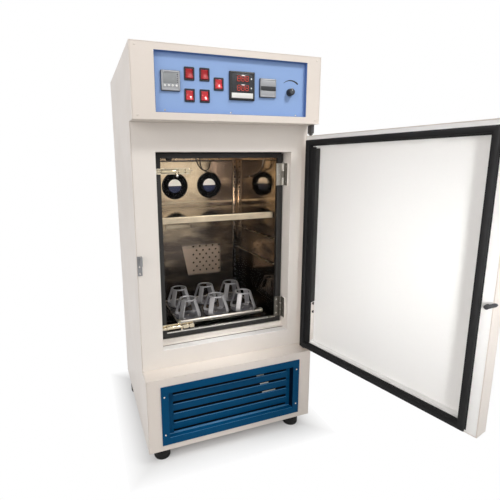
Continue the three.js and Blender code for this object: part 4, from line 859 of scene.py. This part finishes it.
# The upper moving leaf and its knuckles are lighter as painted light; the other leaves and knuckles darker as
# painted shade
HINGES = ((818, 888, LEAF_LIT, LEAF_SHADED), (372, 442, LEAF_SHADED, LEAF_SHADED))
for i, (low, high, moving, fixed) in enumerate(HINGES, 1):
    add_prism(rect(190.4, low + 0.3, 208.9, high - 0.3), "Y", 102.1, 105.2, 0.25)
    make(f"inner_leaf_{i}", moving, "inner_door", 30)
    for k in range(3):
        screw_head(198 + (3 if k == 1 else -1), 102.2, low + 11 + 24 * k, "Y", 2.5, 0.9)
    make(f"inner_leaf_screws_{i}", NICKEL, "inner_door")
    add_prism(rect(78.5, low + 0.3, 95.6, high - 0.3), "X", 214.1, 215.05, 0.25)
    make(f"jamb_leaf_{i}", fixed, smooth=30)
    for k in range(3):
        screw_head(214.2, 87 + (3 if k == 1 else -2), low + 11 + 24 * k, "X", 2.6, 0.9)
    make(f"jamb_leaf_screws_{i}", NICKEL)
    for z0, z1 in ((low + 0.2, low + 23), (high - 23, high - 0.2)):
        add_lathe([(3.9, 0), (4.35, 0.5), (4.35, z1 - z0 - 0.5), (3.9, z1 - z0)], (PIN_X, PIN_Y, z0), "Z", 28)
    make(f"inner_knuckles_{i}", moving, "inner_door")
    add_lathe([(3.9, 0), (4.35, 0.5), (4.35, 21.9), (3.9, 22.4)], (PIN_X, PIN_Y, low + 23.8), "Z", 28)
    make(f"jamb_knuckle_{i}", fixed)
    add_lathe([(0, 1.3), (1.8, 1.1), (2.6, 0.2), (2.6, -0.1), (0, -0.1)], (PIN_X, PIN_Y, high), "Z", 20)
    add_lathe([(0, -1.3), (1.8, -1.1), (2.6, -0.2), (2.6, 0.1), (0, 0.1)], (PIN_X, PIN_Y, low), "Z", 20)
    make(f"hinge_pin_caps_{i}", NICKEL)

# Barrel bolts: rounded barrels, plate screws and a ball on the hanging knob
for place, z in (("upper", 868), ("lower", 389)):
    add_lathe([(3.2, 0), (5.2, 0.2), (5.75, 1), (5.75, 41), (5.2, 42.8), (3.2, 43)], (-184, 97.5, z), "X", 36)
    for start, length in ((-133, 16), (-112, 13)):
        add_box(start - 0.3, start + length + 0.3, 91.2, 103.9, z - 6.3, z + 6.3, 1.6, 3)
    make(f"bolt_barrel_{place}", BRASS if place == "upper" else NICKEL_WARM, "inner_door")
    for x in (-195, -137, -104.5):
        for dz in (-6.4, 6.4):
            if x == -104.5 and dz > 0:
                continue
            screw_head(x, 103.4, z + dz, "Y", 1.9, 0.8)
    make(f"bolt_plate_screws_{place}", NICKEL, "inner_door")
    add_lathe([(0, -4.2), (2.2, -3.8), (3.8, -2.2), (4.3, 0), (3.8, 2.2), (2.6, 3.6), (2.2, 4.6), (3.1, 6.2)],
        (-137.5, 97.5, z - 13), "Z", 28)
    make(f"bolt_knob_ball_{place}", NICKEL, f"bolt_{place}", 60)

# Chamber fans: two-coloured hub discs, guard rings, dark backing discs and screws
FAN_CENTRES = ((-57.5, 806), (83.5, 806))
for i, (x, z) in enumerate(FAN_CENTRES, 1):
    for half, material, start in (("upper", HUB_PALE, 0.0), ("lower", NAVY, math.pi)):
        rim = [(x + 25.6 * math.cos(start + math.pi * k / 24), z + 25.6 * math.sin(start + math.pi * k / 24) +
                (0.35 if half == "upper" else -0.35)) for k in range(25)]
        add_prism(rim, "Y", DUCT + 0.6, DUCT + 1.7, 0.3)
        make(f"fan_disc_{half}_{i}", material, smooth=30)
    add_lathe([(25.8, DUCT + 1.75), (25.9, DUCT + 0.5), (27, DUCT), (28.4, DUCT + 0.5), (28.6, DUCT + 1.75)],
        (x, 0, z), "Y", 56)
    add_lathe([(47.2, DUCT + 1.7), (47.2, DUCT - 0.6), (48, DUCT - 1.6), (50.4, DUCT - 1.8), (51.4, DUCT - 1),
        (51.5, DUCT - 0.02)], (x, 0, z), "Y", 72)
    make(f"fan_guard_{i}", DEEP)
    add_lathe([(0, REAR - 29.1), (44, REAR - 29.1), (47, REAR - 28.8), (47, REAR - 27.9), (0, REAR - 27.7)],
        (x, 0, z), "Y", 56)
    make(f"fan_backing_{i}", DEEP)
    for a in (25, 62, 118, 155, 205, 242, 298, 335):
        screw_head(x + 49.3 * math.cos(math.radians(a)), DUCT - 1.7, z + 49.3 * math.sin(math.radians(a)),
            "Y", 1.1, 0.5)
    make(f"fan_guard_screws_{i}", NICKEL)

# Chamber: slotted corner strips, ceiling seam, wall screws, ledge, cables, sensor tube, lamp and cover strip;
# the ledge and cover strip in lighter steel as painted highlight, and the strips' slots drawn dark as painted
# shade
for x0, x1 in ((182.6, 202.4), (-191.4, -171.6)):
    add_box(x0, x1, DUCT - 3.6, DUCT - 0.1, 347, 914, 0.5)
make("corner_strips", STRIP_STEEL, smooth=30)
# Dark rectangles for the slots: painted shade
for x0 in (189.4, -184.6):
    for k in range(27):
        z = 362 + 20.4 * k
        add_prism(rect(x0, z, x0 + 6, z + 9), "Y", DUCT - 3.9, DUCT - 3.55)
make("corner_strip_slots", INK, smooth=0)

add_box(-190, 182, DUCT - 3.4, DUCT - 0.1, 903.5, 917.6, 0.6)
make("ceiling_seam", SEAM_STEEL, smooth=30)
add_box(-190, 182, DUCT - 2.8, DUCT - 0.1, 898.8, 903.3, 0.4)
for x in (-150, -84, -20, 54, 127):
    add_lathe([(2.1, DUCT - 3.3), (1.9, DUCT - 4.1), (0, DUCT - 4.4)], (x, 0, 910.5), "Y", 16)
make("ceiling_seam_line", INK, smooth=30)
for x, z in ((-171, 880), (13, 865), (150, 880), (-171, 742), (13, 745), (150, 742), (-108, 610), (146, 610)):
    screw_head(x, DUCT + 0.02, z, "Y", 2.6, 1.4)
make("duct_screws", ZINC)
# The ledge in the lighter steel: painted highlight
add_box(-190, 181, DUCT - 2.6, DUCT - 0.05, 735.5, 744, 0.5)
make("duct_ledge", LIP_HIGHLIGHT, smooth=30)
points = ((28.1, 4, 917.5), (29.2, 4, 909.1), (32.3, 4, 897.5), (39.7, 4, 884), (50.1, 4, 869.3),
    (62.7, 4, 864.1), (75.2, 4, 865.1), (82.5, 3, 871.4), (85.7, 3, 881.9), (86.7, 3, 893.4))
curve_piece("fan_cable", [(x, DUCT - y, z) for x, y, z in points], 2.0, CABLE)
points = ((44.9, 4, 917.5), (45.4, 4, 905.9), (46.4, 4, 892.3), (49.1, 4, 879.8), (55.3, 3.5, 867.2),
    (68.9, 3, 860.9), (77.3, 2, 856.8))
curve_piece("fan_cable_twin", [(x, DUCT - y, z) for x, y, z in points], 2.0, CABLE)
curve_piece("sensor_tube", [(198, 206, 915), (198.5, 214, 905), (200, 220, 893), (200.4, 226, 878),
    (200.4, 246, 861), (200.4, 276, 851), (200.4, 310, 844), (200.4, 352, 839), (200.6, 366, 838)], 1.3,
    NICKEL)
add_lathe([(0, 3), (9, 3), (11, 0), (12, -7), (10, -12), (6, -14), (0, -14.6)], (-103, 356, 915), "Z", 32)
make("chamber_lamp", BLACK)

# Cover strip in the lighter steel: painted highlight
add_prism([(DUCT - 3.6, 640), (DUCT - 0.1, 639.3), (DUCT - 0.1, 655), (DUCT - 3.6, 654.3)], "X", -98.4, -1.1,
    0.4)
make("fan_cover_strip", LIP_HIGHLIGHT, smooth=30)

# Shelf's hemmed front lip, and the spare rails' edges, both in lighter steel as painted highlight
add_prism([(129.2, 710.6), (129.2, 727.6), (130.4, 729.2), (140, 729.2), (140, 728.45), (131.2, 728.45),
    (130.35, 727.2), (130.35, 710.6)], "X", -190.6, 192)
make("shelf_front_lip", LIP_HIGHLIGHT, smooth=30)
for i, z in ((2, 638.7), (3, 550.7)):
    for x0, x1 in ((196.6, 202.9), (-191.9, -185.6)):
        add_prism(rect(x0, z - 2.2, x1, z + 0.2), "Y", 129.5, DUCT - 5.4, 0.5)
    make(f"rail_edge_highlights_{i}", SHELF_STEEL, smooth=30)

# Flask tray: brackets, the front tube, rods on the other sides, screws and the tube's end caps
for x in (-134, 159):
    add_box(x - 5, x + 5, 137.8, 153, 377.9, 390.4, 1.2)
    add_box(x - 4, x + 4, 360, 374, 377.9, 384, 1.0)
for x in (-60, 40):
    add_box(x - 7, x + 7, 364, 374.5, 376, 384.5, 1.0)
make("tray_brackets", SHELF_STEEL, "tray", 35)
add_lathe([(6.16, 0), (6.2, 0.4), (6.2, 300.6), (6.16, 301)], (-138, 145.5, 383), "X", 40)
make("tray_tube", TUBE_STEEL, "tray")
for name, x in (("left", -135.8), ("right", 160.8)):
    points = [(x, 147, 379.4), (x, 220, 379.5), (x, 300, 379.4), (x, 369, 379.4)]
    curve_piece("tray_rod_" + name, points, 2.35, TUBE_STEEL, "tray")
points = [(-137, 370.3, 379.4), (-50, 370.3, 379.5), (80, 370.3, 379.4), (162, 370.3, 379.4)]
curve_piece("tray_rod_back", points, 2.35, TUBE_STEEL, "tray")
for x in (-134, 159):
    screw_head(x, 144, 390.4, "Z", 2.6, 1.3, sign=1)
for x in (-60, 40):
    screw_head(x, 369, 384.5, "Z", 2.8, 1.4, sign=1)
for x in (-141.5, 166.5):
    sign = 1 if x > 0 else -1
    add_lathe([(6.2, -2.4 * sign), (6.2, 0.4 * sign), (4.6, 1.6 * sign), (0, 1.9 * sign)],
        (x - sign * 2, 145.5, 383), "X", 28)
make("tray_screws", NICKEL, "tray")


def strip(cx, cy, azimuth, path, width, thickness):
    """A flat band along path, a list of (radius, z), in the upright plane at that azimuth."""
    radial = Vector((math.cos(azimuth), math.sin(azimuth), 0))
    side = Vector((-math.sin(azimuth), math.cos(azimuth), 0))
    rings = []
    for k, (r, z) in enumerate(path):
        prev = path[max(k - 1, 0)]
        nxt = path[min(k + 1, len(path) - 1)]
        t = Vector((nxt[0] - prev[0], nxt[1] - prev[1])).normalized()
        n = Vector((t.y, -t.x))
        out = radial * n.x + Vector((0, 0, n.y))
        mid_point = Vector((cx, cy, 0)) + radial * r + Vector((0, 0, z))
        half = width / 2
        ring = []
        for a, b in ((-1, -0.5), (-0.86, 0.5), (0.86, 0.5), (1, -0.5), (0.86, -0.62), (-0.86, -0.62)):
            ring.append(bm.verts.new(mid_point + side * half * a + out * thickness * b))
        rings.append(ring)
    skin(rings)
    bm.faces.new(rings[0])
    bm.faces.new(rings[-1][::-1])


def smooth_path(points, steps=5):
    """Rounds the inner corners of a (radius, z) path."""
    out = [points[0]]
    for a, b, c in zip(points, points[1:], points[2:]):
        for k in range(steps + 1):
            s = k / steps
            p = Vector(b).lerp(Vector(a), 0.32)
            q = Vector(b).lerp(Vector(c), 0.16)
            out.append(tuple(p * (1 - s) ** 2 + Vector(b) * 2 * s * (1 - s) + q * s * s))
    out.append(points[-1])
    return out


def add_spring(cx, cy, cz, major, minor, coils=64, sides=10):
    """A closed coil spring: a ring tube whose radius swells with each coil."""
    steps = coils * 3
    rings = []
    for k in range(steps):
        a = 2 * math.pi * k / steps
        r = minor * (1.0 if k % 3 == 1 else 0.9)
        ring = []
        for j in range(sides):
            b = 2 * math.pi * j / sides
            reach = major + r * math.cos(b)
            ring.append(bm.verts.new((cx + reach * math.cos(a), cy + reach * math.sin(a),
                cz + r * math.sin(b))))
        rings.append(ring)
    skin(rings, closed=True)


# Flask clamps: pressed base, flat sprung arms under a coiled ring, and rivets
CLAMP_Z = 378.3    # foot of the clamps, on the tray
CLAMPS = [(x, y) for y in (198.8, 320.8) for x in (-89.5, 12.5, 114.5)]
LEGS = [math.radians(-135 + 90 * leg) for leg in range(4)]
arm = smooth_path([(28, CLAMP_Z + 2.5), (44.4, CLAMP_Z + 2.6), (45.4, CLAMP_Z + 11), (30.4, CLAMP_Z + 53),
    (28.6, CLAMP_Z + 60.5)])
for i, (x, y) in enumerate(CLAMPS, 1):
    add_lathe([(0, 2.0), (6.5, 2.0), (7.5, 2.6), (26, 2.6), (27.4, 1.8), (39.6, 1.8), (41.4, 2.6),
        (42.8, 2.2), (43.2, 1.2), (42.6, 0.05), (0, 0.05)], (x, y, CLAMP_Z), "Z", 56)
    make(f"clamp_base_{i}", CLAMP_BASE, "tray", 30)
    add_spring(x, y, CLAMP_Z + 61.6, 26.1, 2.6)
    for azimuth in LEGS:
        strip(x, y, azimuth, arm, 18, 1.5)
    clamp = make(f"clamp_arms_{i}", CLAMP_STEEL, "tray")
    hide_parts(f"flask_clamp_{i}")
    screw_head(x, y, CLAMP_Z + 2.2, "Z", 4.4, 2.2, sign=1)
    for azimuth in LEGS:
        add_lathe([(1.9, 0), (1.7, 0.7), (0.8, 1.1), (0, 1.2)], (x + 34.5 * math.cos(azimuth),
            y + 34.5 * math.sin(azimuth), CLAMP_Z + 3.2), "Z", 14)
    make(f"clamp_rivets_{i}", NICKEL, "tray")

# Back of the cabinet: screws, vent lips, gland nut and a bare plate with rivets
for x in (-262, 262):
    for z in (70, 300, 520, 740, 960, 1165):
        screw_head(x, REAR, z, "Y", 3, 1.5, sign=1)
for x in (-130, 0, 130):
    for z in (56, 1173):
        screw_head(x, REAR, z, "Y", 3, 1.5, sign=1)
make("rear_screws", NICKEL)
for k in range(6):
    z = 105 + 20 * k
    add_prism([(REAR, z + 8.2), (REAR + 4.6, z + 2.6), (REAR + 5, z + 1.6), (REAR + 4.2, z + 1.8),
        (REAR, z + 6.9)], "X", -94, 94, 0.2)
    make(f"vent_lip_{k + 1}", ENAMEL, smooth=30)
nut = (-205, REAR, 115)
add_lathe([(11, 0), (15, 0.2), (15.6, 1), (15.6, 5), (14.6, 6.4), (11, 6.6)], nut, "Y", 6)
add_lathe([(6, 6), (10.8, 6.2), (10.8, 10.5), (9.4, 14.5), (7, 15.6), (4, 15.4), (4, 8)], nut, "Y", 32)
make("gland_nut", BLACK)
add_box(120, 220, REAR - 0.1, REAR + 0.9, 120, 180, 0.3)
make("rear_plate", SILVER, smooth=30)
for x in (125, 215):
    for z in (125, 175):
        add_lathe([(1.8, 0), (1.6, 0.6), (0, 0.9)], (x, REAR + 0.8, z), "Y", 12)
make("rear_plate_rivets", NICKEL)

# Sides: rows of small rivets along the back and front edges
for side in (-1, 1):
    for y, z in ((508, 90), (508, 400), (508, 760), (508, 1140), (16, 66), (16, 262), (16, 1016), (16, 1168)):
        add_lathe([(2.6, 0), (2.4, side * 0.6), (1.2, side * 1.0), (0, side * 1.05)],
            (side * HALF_WIDTH, y, z), "X", 14)
make("side_rivets", ENAMEL)

# Machine compartment: the compressor's weld seam and terminal box, and two copper pipes
add_lathe([(74, 60), (75.6, 61), (76.2, 63), (75.6, 65), (74, 66)], (165, 393, 55), "Z", 56)
add_box(128, 166, 306, 324, 92, 130, 4, 3)
make("compressor_seam", MACHINE)
curve_piece("suction_pipe", [(165, 348, 190), (165, 344, 215), (150, 300, 232), (120, 240, 236),
    (90, 200, 232), (80, 170, 226), (80, 150, 220)], 4, COPPER)
curve_piece("discharge_pipe", [(205, 368, 190), (210, 340, 214), (206, 260, 226), (180, 160, 220),
    (164, 100, 190), (161, 60, 170), (158, 42, 160)], 3, COPPER)

# Camera at the photograph's angle. The side, focal length and optical axis of the picture are in pixels
PHOTO_SIDE = 500
FOCAL = 383.5
AXIS_X, AXIS_Y = 217.66, 239.48
EYE = (-410.4, -1005.7, 885.0)
YAW, PITCH, ROLL = (math.radians(a) for a in (-19.73, -11.0, -0.66))
SENSOR = 36

cam_data = bpy.data.cameras.new("photo_camera")
cam_data.sensor_width = SENSOR
cam_data.lens = FOCAL / PHOTO_SIDE * SENSOR
cam_data.shift_x = (PHOTO_SIDE / 2 - AXIS_X) / PHOTO_SIDE
cam_data.shift_y = (AXIS_Y - PHOTO_SIDE / 2) / PHOTO_SIDE
cam_data.clip_end = 60
camera = bpy.data.objects.new("photo_camera", cam_data)
forward = Vector((-math.sin(YAW) * math.cos(PITCH), math.cos(YAW) * math.cos(PITCH), math.sin(PITCH)))
level_right = Vector((math.cos(YAW), math.sin(YAW), 0))
level_up = level_right.cross(forward)
right = level_right * math.cos(ROLL) + level_up * math.sin(ROLL)
up = level_up * math.cos(ROLL) - level_right * math.sin(ROLL)
turn = Matrix((right, up, -forward)).transposed().to_4x4()
camera.matrix_world = Matrix.Translation(P(*EYE)) @ turn
SCENE.collection.objects.link(camera)
SCENE.camera = camera

# Pale floor: it takes the object's shadow near by, and is plain white farther out. Its share of white rises
# from FLOOR_LIFT at FLOOR_NEAR to 1 at FLOOR_FAR, both in metres outside the cabinet's outline
FLOOR_TONE = 0.72
FLOOR_NEAR = -0.06
FLOOR_FAR = 0.07
FLOOR_LIFT = 0.05

m, tree, bsdf = new_material("pale_floor")
bsdf.inputs["Base Color"].default_value = (FLOOR_TONE, FLOOR_TONE, FLOOR_TONE, 1)
bsdf.inputs["Roughness"].default_value = 0.9
bsdf.inputs["Specular IOR Level"].default_value = 0.1
white = tree.nodes.new("ShaderNodeEmission")
spot = tree.nodes.new("ShaderNodeTexCoord")
split = tree.nodes.new("ShaderNodeSeparateXYZ")
tree.links.new(spot.outputs["Object"], split.inputs[0])
beyond = []
for index, centre, half in ((0, SHIFT.x, HALF_WIDTH / 1000), (1, SHIFT.y + REAR / 2000, REAR / 2000)):
    aside = math_node(tree, "ABSOLUTE", math_node(tree, "SUBTRACT", split.outputs[index], centre))
    beyond.append(math_node(tree, "SUBTRACT", aside, half))
away = ramp(tree, math_node(tree, "MAXIMUM", *beyond), FLOOR_NEAR, FLOOR_FAR, FLOOR_LIFT, 1.0)
show_mixed(tree, product(tree, direct_rays(tree), away), bsdf, white)
bmesh.ops.create_grid(bm, x_segments=2, y_segments=2, size=14)
mesh = bpy.data.meshes.new("floor")
bm.to_mesh(mesh)
bm.free()
mesh.materials.append(m)
floor = bpy.data.objects.new("floor", mesh)
SCENE.collection.objects.link(floor)
floor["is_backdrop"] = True


def area(name, toward, distance, size, watts, color, aim, spread=180):
    """A round lamp that shines on aim, in the cabinet's millimetres, from the direction toward."""
    data = bpy.data.lights.new(name, "AREA")
    data.shape = "DISK"
    data.size = size
    data.energy = watts
    data.color = color
    data.spread = math.radians(spread)
    obj = bpy.data.objects.new(name, data)
    direction = Vector(toward).normalized()
    facing = direction.to_track_quat("Z", "Y").to_matrix().to_4x4()
    obj.matrix_world = Matrix.Translation(P(*aim) + direction * distance) @ facing
    SCENE.collection.objects.link(obj)
    return obj


# Lights: one fairly sharp key from the upper right, soft fills, and weak lamps for bay, chamber and ledge
KEY_WATTS = 22
FILL_WATTS = 62
BAY_WATTS = 0.65
CHAMBER_WATTS = 0.7
FRONT_WATTS = 3.2
TOP_WATTS = 0.2
WORLD_LEVEL = 0.33    # what the white world gives as light

area("key", (0.67, -1, 1.2), 2.0, 0.46, KEY_WATTS, (1, 0.985, 0.965), (0, 60, 1000))
area("fill_left", (-1.4, -0.9, 0.5), 4.5, 3.0, FILL_WATTS, (1, 0.925, 0.885), (0, 200, 650))
area("bay", (-0.45, -1, 0.1), 1.9, 0.5, BAY_WATTS, (1, 1, 1), (440, -260, 640), 25)
lamp = area("chamber", (-0.02, -0.9, 0.44), 0.33, 0.12, CHAMBER_WATTS, (1, 0.96, 0.9), (10, DUCT, 766), 130)
lamp.visible_camera = False
lamp.visible_glossy = False
lamp.visible_transmission = False
area("front", (-0.25, -1, 0.5), 2.0, 0.9, FRONT_WATTS, (1, 1, 1), (-150, 0, 800))
area("top", (0.03, -0.2, 1), 2.6, 0.4, TOP_WATTS, (0.92, 0.97, 1), (0, -10, 290), 17)

world = bpy.data.worlds.new("studio")
SCENE.world = world
world.use_nodes = True
tree = world.node_tree
tree.nodes.clear()
out = tree.nodes.new("ShaderNodeOutputWorld")
back = tree.nodes.new("ShaderNodeBackground")
back.inputs[0].default_value = (1, 1, 1, 1)
tree.links.new(ramp(tree, direct_rays(tree), 0.0, 1.0, WORLD_LEVEL, 1.0), back.inputs[1])
tree.links.new(back.outputs[0], out.inputs[0])

SCENE.view_settings.view_transform = "Standard"

low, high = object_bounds()
